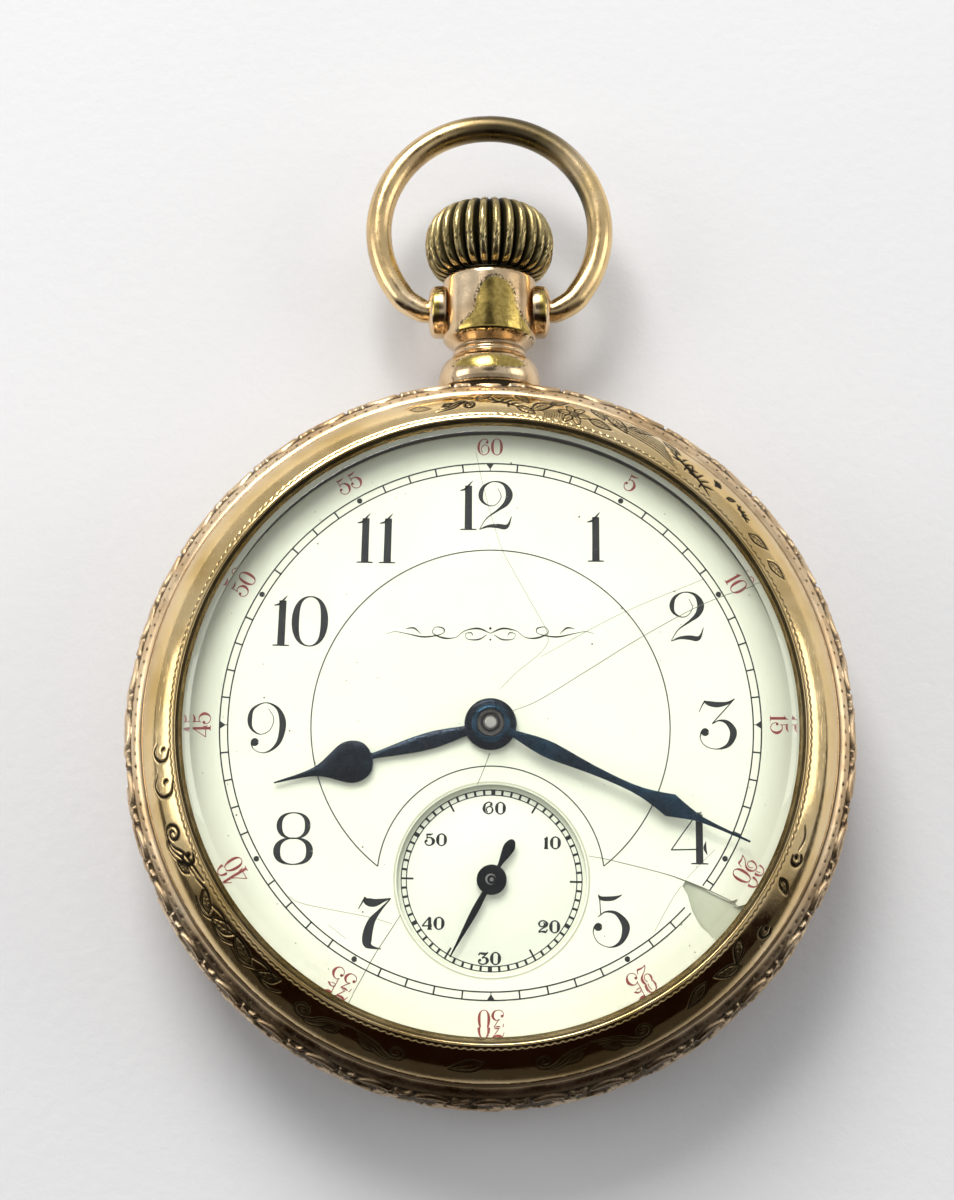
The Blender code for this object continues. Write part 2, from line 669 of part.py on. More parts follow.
def make_hour():
    turn = axis_empty("hour_axis", (0.0, 0.0, 0.0))
    module = MOTION_MODULE * (CANNON_LEAVES + MINUTE_TEETH) / (MINUTE_LEAVES + HOUR_TEETH)
    teeth = toothed(HOUR_TEETH, module * HOUR_TEETH / 2, module, MINUTE_WHEEL_BEARING)
    body = plate("hour_wheel", "brass", teeth, [circle(1.1, 16)], 10.3, 10.55, parent=turn)
    pipe = [(0.95, 10.35), (1.3, 10.35), (1.3, 12.4), (0.95, 12.4)]
    combine(body, turned("hour_pipe", None, pipe, 16, parent=turn), "UNION")
    outline = [(-1.5, -0.8), (-0.8, -1.6), (0.8, -1.6), (1.9, -0.45), (4.8, -0.62), (8.6, -0.18)]
    outline += arc(1.7, 230.0, 320.0, 7, (10.75, 0.0))
    outline += [(12.9, -0.75), (14.2, -0.22), (16.3, -0.04)]
    outline += [(x, -y) for x, y in reversed(outline)]
    hand = plate("hour_hand", "blued_steel", outline, [circle(1.4, 16)], *HOUR_HAND_Z, parent=turn)
    hand.rotation_euler = (0.0, 0.0, HOUR_ANGLE)


def make_minute_wheel():
    turn = axis_empty("minute_wheel_axis", (*PLACES["minute"], 0.0))
    back = MINUTE_WHEEL_BEARING + math.pi
    module = MOTION_MODULE * (CANNON_LEAVES + MINUTE_TEETH) / (MINUTE_LEAVES + HOUR_TEETH)
    wheel_outline = toothed(MINUTE_TEETH, MOTION_MODULE * MINUTE_TEETH / 2, MOTION_MODULE, back)
    body = plate("minute_wheel", "brass", wheel_outline, [circle(0.7, 12)], 9.85, 10.15, parent=turn)
    bore = ARBOR_RADIUS + 0.1
    profile = [(LEAVES, 9.9), (LEAVES, 10.65), (bore, 10.65), (bore, 9.9)]
    rings = pinion_rings(MINUTE_LEAVES, module, back, profile)
    combine(body, stack("minute_pinion", None, rings, parent=turn, closed=True), "UNION")


def make_setting_wheel():
    """The wheel that carries the crown's turning to the hands when the crown is pulled out."""
    place = PLACES["setting"]
    turn = axis_empty("setting_wheel_axis", (*place, 0.0))
    facing = bearing(place, PLACES["minute"])
    outline = toothed(SETTING_TEETH, MOTION_MODULE * SETTING_TEETH / 2, MOTION_MODULE, facing)
    plate("setting_wheel", "steel", outline, [circle(ARBOR_RADIUS + 0.1, 12)], 9.85, 10.15, parent=turn)


def make_third():
    place = PLACES["third"]
    turn = axis_empty("third_axis", (*place, 0.0))
    profile = [
        (0.22, 2.5),
        (0.22, 4.1),
        (ARBOR_RADIUS, 4.1),
        (ARBOR_RADIUS, 7.0),
        (LEAVES, 7.0),
        (LEAVES, 7.85),
        (0.22, 7.85),
        (0.22, 9.3),
    ]
    rings = pinion_rings(THIRD_LEAVES, CENTER_MODULE, bearing(place, CENTER), profile)
    stack("third_pinion", "steel", rings, parent=turn)
    facing = bearing(place, FOURTH)
    wheel("third_wheel", THIRD_TEETH, THIRD_MODULE, facing, (6.5, 6.8), turn, ARBOR_RADIUS + 0.1)


def make_fourth():
    turn = axis_empty("seconds_axis", (*FOURTH, 0.0))
    profile = [
        (0.22, 2.5),
        (0.22, 4.1),
        (ARBOR_RADIUS, 4.1),
        (ARBOR_RADIUS, 6.2),
        (LEAVES, 6.2),
        (LEAVES, 7.1),
        (ARBOR_RADIUS, 7.1),
        (ARBOR_RADIUS, 11.9),
    ]
    rings = pinion_rings(FOURTH_LEAVES, THIRD_MODULE, bearing(FOURTH, PLACES["third"]), profile)
    stack("fourth_pinion", "steel", rings, parent=turn)
    facing = bearing(FOURTH, PLACES["escape"])
    wheel("fourth_wheel", FOURTH_TEETH, FOURTH_MODULE, facing, (5.5, 5.8), turn, ARBOR_RADIUS + 0.1)
    outline = [(-3.1, -0.05), (-2.3, -0.42), (-1.2, -0.12), (-0.8, -0.75), (0.0, -1.1), (0.8, -0.75)]
    outline += [(1.2, -0.2), (3.2, -0.3), (6.4, -0.04)]
    outline += [(x, -y) for x, y in reversed(outline)]
    hole = [circle(ARBOR_RADIUS + 0.1, 12)]
    hand = plate("seconds_hand", "blued_steel", outline, hole, *SECONDS_HAND_Z, parent=turn)
    hand.rotation_euler = (0.0, 0.0, SECONDS_ANGLE)


def make_escapement():
    place = PLACES["escape"]
    turn = axis_empty("escape_axis", (*place, 0.0))
    profile = [
        (0.18, 2.5),
        (0.18, 4.1),
        (0.3, 4.1),
        (0.3, 5.3),
        (LEAVES, 5.3),
        (LEAVES, 6.05),
        (0.3, 6.05),
        (0.3, 7.8),
        (0.18, 7.8),
        (0.18, 9.3),
    ]
    rings = pinion_rings(ESCAPE_LEAVES, FOURTH_MODULE, bearing(place, FOURTH), profile)
    stack("escape_pinion", "steel", rings, parent=turn)
    outline = []
    for i in range(ESCAPE_TEETH):
        step = 2 * math.pi / ESCAPE_TEETH
        for radius, lead in ((3.0, 0.0), (ESCAPE_RADIUS, 0.28), (ESCAPE_RADIUS - 0.12, 0.42), (3.1, 0.34)):
            outline.append(polar(radius, step * (i + lead)))
    holes = [circle(0.4, 14)]
    for i in range(4):
        middle = math.pi / 2 * i
        window = [polar(1.0, middle + t) for t in (0.42, 0.0, -0.42)]
        window += [polar(2.5, middle + t) for t in (-0.66, -0.22, 0.22, 0.66)]
        holes.append(window)
    plate("escape_wheel", "brass", outline, holes, 6.6, 6.85, parent=turn)

    pallet = PLACES["pallet"]
    rock = axis_empty("pallet_axis", (*pallet, 0.0))
    reach = math.dist(pallet, BALANCE)
    to_balance = bearing(pallet, BALANCE)
    fork = [(0.9, -0.3), (reach - 2.3, -0.22), (reach - 2.0, -0.75)]
    fork += [(reach - 1.45, -0.6), (reach - 1.75, -0.2)]
    upper = [(0.0, 0.7), (-0.25, 1.2), (-0.75, 2.85), (-1.3, 2.6), (-0.8, 1.0), (-0.55, 0.0)]
    outline = [*fork, *((x, -y) for x, y in reversed(fork))]
    outline += [*upper, *((x, -y) for x, y in reversed(upper[:-1]))]
    lever = plate("pallet_fork", "steel", outline, [circle(0.3, 12)], 6.6, 6.95, parent=rock)
    lever.rotation_euler = (0.0, 0.0, to_balance)
    shaft = [(0.15, 5.85), (0.2, 6.3), (0.2, 7.8), (0.15, 7.9), (0.15, 9.2)]
    turned("pallet_arbor", "steel", shaft, 12, parent=rock, closed=False)


def make_balance():
    swing = axis_empty("balance_axis", (*BALANCE, 0.0))
    outline = circle(BALANCE_RADIUS, 48)
    inner = BALANCE_RADIUS - 0.8
    holes = [circle(0.62, 16)]
    for side in (0.0, math.pi):
        window = [polar(inner, side + math.radians(10.0 + 160.0 * i / 16)) for i in range(17)]
        window += [polar(1.5, side + math.radians(140.0)), polar(1.5, side + math.radians(40.0))]
        holes.append(window)
    plate("balance_wheel", "brass", outline, holes, 4.7, 5.45, parent=swing)
    staff = [
        (0.15, 2.5),
        (0.15, 4.0),
        (0.35, 4.05),
        (0.5, 4.6),
        (0.5, 5.7),
        (0.35, 5.7),
        (0.35, 6.5),
        (1.1, 6.5),
        (1.1, 7.2),
        (0.3, 7.2),
        (0.3, 7.85),
        (0.15, 7.9),
        (0.15, 9.2),
    ]
    turned("balance_staff", "steel", staff, 12, parent=swing, closed=False)
    spiral("hairspring", "blued_steel", BALANCE, (0.75, 3.9), 5, 0.14, (4.15, 4.45), 12)
    steer = axis_empty("regulator_axis", (*BALANCE, 0.0))
    ring = arc(1.7, 14.0, 346.0, 20)
    pointer = [(6.2, -0.12), (6.2, 0.12)]
    regulator = plate("regulator", "steel", ring + pointer, [circle(1.05, 16)], 1.75, 2.1, parent=steer)
    regulator.rotation_euler = (0.0, 0.0, math.radians(200.0))


def spiral(name, material, place, radii, turns, thickness, span, per_turn):
    """A flat coiled strip on end."""
    count = turns * per_turn
    outer, inner = [], []
    for i in range(count + 1):
        angle = 2 * math.pi * i / per_turn
        radius = radii[0] + (radii[1] - radii[0]) * i / count
        outer.append(polar(radius + thickness / 2, angle))
        inner.append(polar(radius - thickness / 2, angle))
    loop = outer + inner[::-1]
    size = len(loop)
    points = [(x, y, z) for z in span for x, y in loop]
    faces = []
    for i in range(count):
        a, b, c, d = i, i + 1, size - 2 - i, size - 1 - i
        faces += [(a, b, c, d), (a + size, b + size, c + size, d + size)]
    for i in range(size):
        j = (i + 1) % size
        faces.append((i, j, j + size, i + size))
    return add_object(name, make_mesh(name, points, faces), material, (*place, 0.0))


def make_barrel():
    place = PLACES["barrel"]
    turn = axis_empty("barrel_axis", (*place, 0.0))
    radius = BARREL_MODULE * BARREL_TEETH / 2
    teeth = toothed(BARREL_TEETH, radius, BARREL_MODULE, bearing(place, CENTER))
    drum = radius - 0.65
    body = plate("barrel", "brass", teeth, [circle(1.4, 16)], 6.3, 6.8, parent=turn)
    wall = [(drum - 0.4, 4.6), (drum, 4.6), (drum, 6.5), (drum - 0.4, 6.5)]
    combine(body, turned("barrel_wall", None, wall, 30, parent=turn), "UNION")
    lid = drum - 0.5
    turned("barrel_cover", "brass", [(1.4, 4.6), (lid, 4.6), (lid, 4.85), (1.4, 4.85)], 24, parent=turn)
    coil = spiral("mainspring", "steel", (0.0, 0.0), (2.9, drum - 0.8), 5, 0.28, (5.05, 6.1), 12)
    coil.parent = turn
    wind = axis_empty("ratchet_axis", (*place, 0.0))
    shaft = [
        (0.8, 1.7),
        (0.8, 2.15),
        (1.2, 2.2),
        (1.2, 5.0),
        (2.3, 5.0),
        (2.3, 6.2),
        (1.1, 6.2),
        (1.1, 7.9),
        (0.9, 7.95),
        (0.9, 9.3),
    ]
    turned("barrel_arbor", "steel", shaft, 14, parent=wind, closed=False)
    to_crown = bearing(place, CROWN_WHEEL)
    ratchet = toothed(RATCHET_TEETH, WINDING_MODULE * RATCHET_TEETH / 2, WINDING_MODULE, to_crown)
    plate("ratchet_wheel", "steel", ratchet, [circle(0.95, 16)], 1.7, 2.1, parent=wind)


def make_winding():
    turn = axis_empty("crown_wheel_axis", (*CROWN_WHEEL, 0.0))
    facing = bearing(CROWN_WHEEL, PLACES["barrel"])
    half_tooth = math.pi / CROWN_TEETH
    pitch_radius = WINDING_MODULE * CROWN_TEETH / 2
    teeth = toothed(CROWN_TEETH, pitch_radius, WINDING_MODULE, facing + half_tooth)
    body = plate("crown_wheel", "steel", teeth, [circle(1.2, 16)], 1.7, 2.1, parent=turn)
    sleeve = [(0.7, 1.75), (2.45, 1.75), (2.45, 4.15), (1.9, 4.15), (1.9, 2.3), (0.7, 2.3)]
    combine(body, turned("crown_wheel_sleeve", None, sleeve, 20, parent=turn), "UNION")
    ratchet_edge = WINDING_MODULE * (RATCHET_TEETH / 2 + 0.75) + 0.12
    rock = axis_empty("click_axis", (*CLICK, 0.0))
    barrel = PLACES["barrel"]
    aim = bearing(CLICK, barrel)
    reach = math.dist(CLICK, barrel) - ratchet_edge
    pawl = arc(0.9, 60.0, 300.0, 9) + [(reach - 0.1, -0.35), (reach, 0.25)]
    lever = plate("click", "steel", pawl, [circle(0.35, 12)], 1.7, 2.05, parent=rock)
    lever.rotation_euler = (0.0, 0.0, aim)
    spring = arc(3.0, 150.0, 235.0, 9, CLICK) + arc(2.8, 235.0, 150.0, 9, CLICK)
    plate("click_spring", "steel", spring, [], 1.75, 2.05)
    tilt = axis_empty("setting_lever_axis", (*SETTING_LEVER, 0.0))
    shape = arc(1.0, 100.0, 260.0, 7) + [(1.6, -0.5), (4.2, -0.35), (4.2, 0.35), (1.6, 0.6)]
    plate("setting_lever", "steel", shape, [circle(0.4, 12)], 7.15, 7.5, parent=tilt)


def make_dial():
    outline = circle(DIAL_RADIUS, 60)
    holes = [circle(1.6, 16), circle(SECONDS_OPENING, 32, FOURTH)]
    face = plate("dial", "enamel", outline, holes, DIAL_BOTTOM, DIAL_TOP)
    for i, place in enumerate(dial_feet_places()):
        shape = [(DIAL_FOOT_RADIUS, PLATE_BOTTOM + 0.2), (DIAL_FOOT_RADIUS, DIAL_BOTTOM + 0.3)]
        foot = turned(f"dial_foot_{i}", None, shape, 10, (*place, 0.0), closed=False)
        combine(face, foot, "UNION")
    disc = [
        (0.7, SECONDS_DISC_BOTTOM),
        (SECONDS_DISC_RADIUS, SECONDS_DISC_BOTTOM),
        (SECONDS_DISC_RADIUS, SECONDS_DISC_TOP),
        (0.7, SECONDS_DISC_TOP),
    ]
    turned("seconds_dial", "enamel", disc, 24, (*FOURTH, 0.0))


def main():
    clear_scene()
    make_materials()
    make_case()
    make_bezel()
    make_pendant()
    make_bow()
    make_crown()
    make_pillar_plate()
    make_bridges()
    make_barrel()
    make_center()
    make_hour()
    make_minute_wheel()
    make_setting_wheel()
    make_third()
    make_fourth()
    make_escapement()
    make_balance()
    make_winding()
    make_dial()


main()
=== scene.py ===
import json
import math
import random

import bmesh
import bpy
import numpy as np
from mathutils import Matrix, Vector


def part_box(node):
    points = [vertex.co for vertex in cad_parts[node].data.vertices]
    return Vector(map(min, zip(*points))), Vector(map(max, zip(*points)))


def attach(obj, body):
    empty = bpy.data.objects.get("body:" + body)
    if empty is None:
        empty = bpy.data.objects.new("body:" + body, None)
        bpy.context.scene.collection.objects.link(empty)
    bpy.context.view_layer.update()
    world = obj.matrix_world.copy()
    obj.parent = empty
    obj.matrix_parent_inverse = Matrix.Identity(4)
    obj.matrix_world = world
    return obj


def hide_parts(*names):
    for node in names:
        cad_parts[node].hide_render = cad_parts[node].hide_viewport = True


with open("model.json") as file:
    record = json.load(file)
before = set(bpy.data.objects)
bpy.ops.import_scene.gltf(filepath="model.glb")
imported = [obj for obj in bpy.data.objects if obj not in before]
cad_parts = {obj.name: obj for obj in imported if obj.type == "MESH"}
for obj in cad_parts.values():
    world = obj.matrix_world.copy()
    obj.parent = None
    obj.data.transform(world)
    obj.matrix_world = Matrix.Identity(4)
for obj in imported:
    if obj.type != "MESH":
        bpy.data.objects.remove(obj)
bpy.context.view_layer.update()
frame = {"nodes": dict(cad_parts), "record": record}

MM = 0.001
random.seed(7)
noise_of = np.random.default_rng(7)

# Heights and sizes in millimetres. Those that can be read from the CAD frame are.
DIAL_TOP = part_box("dial")[1].z / MM
SECONDS_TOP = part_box("seconds_dial")[1].z / MM
SECONDS_CENTRE = (0.07, -11.38)
GLASS_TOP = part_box("crystal")[1].z / MM
PENDANT_Z = 6.1
BOSS_Y = 34.4
INK = 0.012
FIGURE_HEIGHT = 3.85
RED_HEIGHT = 1.3
SMALL_HEIGHT = 0.88


# ---------------------------------------------------------------- materials

def fresh(name):
    material = bpy.data.materials.new(name)
    material.use_nodes = True
    tree = material.node_tree
    return material, tree, tree.nodes["Principled BSDF"]


def node(tree, kind, inputs=None, **settings):
    made = tree.nodes.new("ShaderNode" + kind)
    for key, value in settings.items():
        setattr(made, key, value)
    for key, value in (inputs or {}).items():
        if isinstance(value, bpy.types.NodeSocket):
            tree.links.new(value, made.inputs[key])
        else:
            made.inputs[key].default_value = value
    return made


def place(tree, scale=(1, 1, 1), turn=(0, 0, 0)):
    where = node(tree, "TexCoord").outputs["Object"]
    return node(tree, "Mapping", {"Vector": where, "Scale": scale, "Rotation": turn}).outputs[0]


def grain(tree, size_mm, detail=4, vector=None, rough=0.55):
    """Noise whose lumps are about this many millimetres across."""
    vector = vector or place(tree)
    inputs = {"Vector": vector, "Scale": 1000 / size_mm, "Detail": detail, "Roughness": rough}
    return node(tree, "TexNoise", inputs).outputs["Fac"]


def ramp(tree, value, stops):
    made = node(tree, "ValToRGB", {"Fac": value})
    line = made.color_ramp
    while len(line.elements) < len(stops):
        line.elements.new(0.5)
    for element, (at, colour) in zip(line.elements, stops):
        element.position = at
        element.color = (*colour, 1)
    return made.outputs["Color"]


def span(tree, value, low, high, new_low, new_high):
    inputs = {"Value": value, "From Min": low, "From Max": high, "To Min": new_low, "To Max": new_high}
    return node(tree, "MapRange", inputs).outputs[0]


def math_of(tree, operation, a, b=0):
    return node(tree, "Math", {0: a, 1: b}, operation=operation).outputs[0]


def mix(tree, amount, a, b, blend="MIX"):
    made = node(tree, "Mix", data_type="RGBA", blend_type=blend)
    for socket, value in zip((made.inputs[0], made.inputs[6], made.inputs[7]), (amount, a, b)):
        if isinstance(value, bpy.types.NodeSocket):
            tree.links.new(value, socket)
        elif isinstance(value, tuple):
            socket.default_value = (*value, 1)
        else:
            socket.default_value = value
    return made.outputs[2]


def field(tree, name):
    return node(tree, "Attribute", attribute_name=name).outputs["Fac"]


def scratches(tree, seed, strength=0.5):
    """Fine straight scratches in three directions, as a height from 0 to 1."""
    total = None
    for k in range(3):
        stretch = place(tree, (14, 1, 14), (0, 0, seed + 1.1 * k))
        lines = grain(tree, 2.6, 2, stretch)
        thin = span(tree, lines, 0.655, 0.7, 0, strength)
        total = thin if total is None else math_of(tree, "MAXIMUM", total, thin)
    return total


def dent(tree, bsdf, heights):
    """Heights as [(height, distance in mm)], one bump after another."""
    normal = None
    for height, distance in heights:
        inputs = {"Height": height, "Distance": distance * MM, "Strength": 1}
        if normal is not None:
            inputs["Normal"] = normal
        normal = node(tree, "Bump", inputs).outputs[0]
    tree.links.new(normal, bsdf.inputs["Normal"])


def wear(tree, bsdf, colour, roughness, metallic=0):
    tree.links.new(colour, bsdf.inputs["Base Color"])
    tree.links.new(roughness, bsdf.inputs["Roughness"])
    bsdf.inputs["Metallic"].default_value = metallic


def metal(name, tones, rough, dirt_and_shade=(0.02, 0.014, 0.008), seed=0, scratch=0.5, ripple=0,
          grimed=False, worn=None, patch_mm=5, dull=0.35):
    material, tree, bsdf = fresh(name)
    broad = grain(tree, patch_mm, 3)
    fine = grain(tree, 0.35, 5)
    colour = ramp(tree, broad, [(0.34, tones[0]), (0.5, tones[1]), (0.66, tones[2])])
    colour = mix(tree, span(tree, fine, 0.55, 0.75, 0, 0.35), colour, tones[0])
    lines = scratches(tree, seed, scratch)
    roughness = span(tree, grain(tree, 1.6, 5), 0.35, 0.65, rough[0], rough[1])
    if worn:
        patch = field(tree, "worn")
        colour = mix(tree, patch, colour, ramp(tree, fine, [(0.35, worn[0]), (0.6, worn[1])]))
        holes = span(tree, grain(tree, 0.22, 2), 0.5, 0.56, 0, 1)
        pits = math_of(tree, "MULTIPLY", field(tree, "edge"), holes)
        colour = mix(tree, pits, colour, dirt_and_shade)
    # The grime mask darkens the colour towards the dirt colour: real dirt in most pieces, painted shade in
    # the bezel's groove by the glass, and a painted dark reflection on the bow's top.
    if grimed:
        soil_and_shade = field(tree, "grime")
        colour = mix(tree, soil_and_shade, colour, dirt_and_shade)
        roughness = math_of(tree, "ADD", roughness, math_of(tree, "MULTIPLY", soil_and_shade, dull))
    wear(tree, bsdf, colour, roughness, 1)
    heights = [(lines, 0.004), (fine, 0.0035)]
    if ripple:
        heights.append((grain(tree, 0.9, 3), ripple))
    dent(tree, bsdf, heights)
    return material


ROSE = ((0.6, 0.41, 0.22), (0.79, 0.58, 0.35), (0.86, 0.67, 0.44))
GOLD = ((0.66, 0.45, 0.17), (0.84, 0.61, 0.29), (0.9, 0.69, 0.38))
BRASS = ((0.36, 0.28, 0.12), (0.54, 0.43, 0.2), (0.68, 0.55, 0.28))
GREEN_BRASS = ((0.42, 0.3, 0.08), (0.6, 0.44, 0.13))

bezel_gold = metal("bezel_gold", GOLD, (0.08, 0.18), seed=0.3, grimed=True, patch_mm=7)
centre_gold = metal("centre_rose_gold", ROSE, (0.22, 0.4), seed=0.9, grimed=True, ripple=0.012)
back_gold = metal("back_gold", GOLD, (0.14, 0.3), seed=1.7, scratch=0.9, grimed=True)
pendant_gold = metal("pendant_rose_gold", ROSE, (0.1, 0.24), seed=0.5, worn=GREEN_BRASS, grimed=True)
# The bow's dark dirt colour, kept glossy, also paints the dark reflection on its top.
bow_gold = metal("bow_rose_gold", (ROSE[0], GOLD[1], ROSE[2]), (0.16, 0.32), (0.032, 0.029, 0.013),
                 seed=0.1,
                 patch_mm=9, grimed=True, dull=0.08)
crown_brass = metal("crown_old_brass", BRASS, (0.16, 0.34), (0.005, 0.0045, 0.002), seed=2.2, grimed=True)
steel = metal("bright_steel", ((0.3, 0.29, 0.27), (0.48, 0.47, 0.44), (0.62, 0.61, 0.58)), (0.2, 0.45))
brass_wheel = metal("gilt_brass", ((0.55, 0.38, 0.14), (0.72, 0.52, 0.22), (0.8, 0.6, 0.28)), (0.2, 0.35))
dull_steel = metal("dull_steel", ((0.05, 0.045, 0.04), (0.11, 0.1, 0.09), (0.2, 0.19, 0.17)), (0.3, 0.5))
screw_blue = metal("blued_screw", ((0.01, 0.02, 0.06), (0.02, 0.05, 0.16), (0.03, 0.07, 0.22)), (0.15, 0.3))


def blued(name, tones, rough):
    material, tree, bsdf = fresh(name)
    broad = grain(tree, 4, 3)
    colour = ramp(tree, broad, [(0.36, tones[0]), (0.52, tones[1]), (0.66, tones[2])])
    rust = span(tree, grain(tree, 0.5, 6), 0.66, 0.74, 0, 0.6)
    colour = mix(tree, rust, colour, (0.05, 0.025, 0.018))
    wear(tree, bsdf, colour, span(tree, grain(tree, 0.8, 5), 0.35, 0.7, *rough), 0.85)
    along = place(tree, (9, 1, 9), (0, 0, 0.43))
    dent(tree, bsdf, [(grain(tree, 0.6, 3, along), 0.004)])
    return material


SLATE = ((0.004, 0.005, 0.008), (0.008, 0.012, 0.02), (0.012, 0.02, 0.032))
BLUE = ((0.005, 0.012, 0.022), (0.009, 0.028, 0.05), (0.014, 0.045, 0.08))
BLACK = ((0.002, 0.002, 0.003), (0.004, 0.004, 0.005), (0.006, 0.006, 0.008))

hour_blue = blued("hour_blued_steel", SLATE, (0.2, 0.42))
minute_blue = blued("minute_blued_steel", BLUE, (0.2, 0.4))
seconds_black = blued("seconds_black_steel", BLACK, (0.3, 0.5))


def nickel_plate():
    material, tree, bsdf = fresh("damaskeened_nickel")
    wave = node(tree, "TexWave", {"Vector": place(tree, turn=(0, 0, 0.6)),
                                  "Scale": 110, "Distortion": 0.6,
                                  "Detail": 1}, wave_profile="SIN").outputs["Fac"]
    fine = grain(tree, 0.25, 6)
    tones = [(0.1, (0.42, 0.41, 0.38)), (0.5, (0.62, 0.61, 0.57)), (0.9, (0.74, 0.73, 0.69))]
    colour = ramp(tree, wave, tones)
    colour = mix(tree, span(tree, fine, 0.5, 0.8, 0, 0.4), colour, (0.36, 0.33, 0.27))
    wear(tree, bsdf, colour, span(tree, wave, 0, 1, 0.22, 0.42), 1)
    dent(tree, bsdf, [(wave, 0.01), (fine, 0.004)])
    return material


def enamel(name, low, high, dust_and_shade=True):
    material, tree, bsdf = fresh(name)
    colour = ramp(tree, grain(tree, 9, 4), [(0.3, low), (0.7, high)])
    if dust_and_shade:
        specks = span(tree, grain(tree, 0.45, 2), 0.765, 0.79, 0, 0.55)
        colour = mix(tree, specks, colour, (0.16, 0.15, 0.12))
        stain = span(tree, grain(tree, 5, 7), 0.6, 0.8, 0, 0.22)
        colour = mix(tree, stain, colour, (0.62, 0.61, 0.47))
        # Painted shade: the enamel darkens to grey-green towards the rim, more towards the top, where the
        # bezel's lip would shade it.
        where = node(tree, "SeparateXYZ", {0: node(tree, "TexCoord").outputs["Object"]}).outputs
        flat = node(tree, "CombineXYZ", {"X": where["X"], "Y": where["Y"]}).outputs[0]
        reach = node(tree, "VectorMath", {0: flat}, operation="LENGTH").outputs["Value"]
        rim = span(tree, reach, 0.0193, 0.0223, 0, 1)
        height = span(tree, where["Y"], -0.021, -0.001, 0.14, 0.66)
        colour = mix(tree, math_of(tree, "MULTIPLY", rim, height), colour, (0.25, 0.27, 0.21))
    wear(tree, bsdf, colour, span(tree, grain(tree, 2, 5), 0.3, 0.7, 0.1, 0.22))
    bsdf.inputs["Coat Weight"].default_value = 0.35
    bsdf.inputs["Coat Roughness"].default_value = 0.05
    dent(tree, bsdf, [(grain(tree, 6, 2), 0.01)])
    return material


def printed(name, colour, other, rough=0.35):
    """Fired print: a little uneven, with pinholes."""
    material, tree, bsdf = fresh(name)
    holes = span(tree, grain(tree, 0.09, 3), 0.64, 0.72, 0, 0.5)
    uneven = span(tree, grain(tree, 0.3), 0.3, 0.7, rough - 0.08, rough + 0.08)
    wear(tree, bsdf, mix(tree, holes, colour, other), uneven)
    return material


dial_white = enamel("dial_enamel", (0.8, 0.82, 0.68), (0.85, 0.87, 0.73))
seconds_white = enamel("seconds_enamel", (0.78, 0.8, 0.68), (0.82, 0.84, 0.72))
black_print = printed("black_print", (0.006, 0.006, 0.007), (0.06, 0.06, 0.055))
red_print = printed("red_print", (0.24, 0.035, 0.03), (0.45, 0.2, 0.17))
crack_dark = printed("crack_dark", (0.13, 0.13, 0.09), (0.3, 0.3, 0.22), 0.5)
crack_pale = printed("crack_pale", (0.38, 0.38, 0.29), (0.58, 0.58, 0.48), 0.5)
ring_olive = printed("ring_olive", (0.5, 0.5, 0.36), (0.66, 0.66, 0.54), 0.4)
chip_core = enamel("chip_core", (0.22, 0.24, 0.16), (0.5, 0.52, 0.4), False)


def glass(name):
    material, tree, bsdf = fresh(name)
    bsdf.inputs["Transmission Weight"].default_value = 1
    bsdf.inputs["IOR"].default_value = 1.5
    bsdf.inputs["Base Color"].default_value = (0.985, 1, 0.985, 1)
    smear = span(tree, grain(tree, 7, 6), 0.5, 0.8, 0, 0.018)
    tree.links.new(smear, bsdf.inputs["Roughness"])
    clear = node(tree, "BsdfTransparent", {"Color": (0.93, 0.94, 0.93, 1)})
    light = node(tree, "LightPath").outputs["Is Shadow Ray"]
    both = node(tree, "MixShader", {0: light, 1: bsdf.outputs[0], 2: clear.outputs[0]})
    tree.links.new(both.outputs[0], tree.nodes["Material Output"].inputs["Surface"])
    return material


def ruby():
    material, tree, bsdf = fresh("ruby_jewel")
    cloud = ramp(tree, grain(tree, 0.4), [(0.3, (0.3, 0.01, 0.03)), (0.7, (0.55, 0.03, 0.07))])
    tree.links.new(cloud, bsdf.inputs["Base Color"])
    bsdf.inputs["Roughness"].default_value = 0.06
    bsdf.inputs["Coat Weight"].default_value = 0.6
    return material


# ------------------------------------------------------------------ shapes

def placed(name, data):
    made = bpy.data.objects.new(name, data)
    bpy.context.scene.collection.objects.link(made)
    return made


def outward_faces(mesh):
    work = bmesh.new()
    work.from_mesh(mesh)
    bmesh.ops.recalc_face_normals(work, faces=work.faces)
    work.to_mesh(mesh)
    work.free()


def build(name, points, faces, paint, body, slot, replaced=(), smooth=True, **fields):
    """A mesh piece from points in millimetres, riding on a CAD body."""
    mesh = bpy.data.meshes.new(name)
    mesh.from_pydata((np.asarray(points, float).reshape(-1, 3) * MM).tolist(), [], faces)
    for key, values in fields.items():
        kept = mesh.attributes.new(key, "FLOAT", "POINT").data
        kept.foreach_set("value", np.ravel(values).astype(np.float32))
    outward_faces(mesh)
    mesh.polygons.foreach_set("use_smooth", [smooth] * len(mesh.polygons))
    mesh.materials.append(paint)
    made = placed(name, mesh)
    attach(made, body)
    if replaced:
        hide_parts(*replaced)
    return made


def sharpen(made, degrees=35):
    """Shades edges steeper than this as edges."""
    work = bmesh.new()
    work.from_mesh(made.data)
    limit = math.radians(degrees)
    for edge in work.edges:
        edge.smooth = edge.calc_face_angle(0) < limit
    work.to_mesh(made.data)
    work.free()
    return made


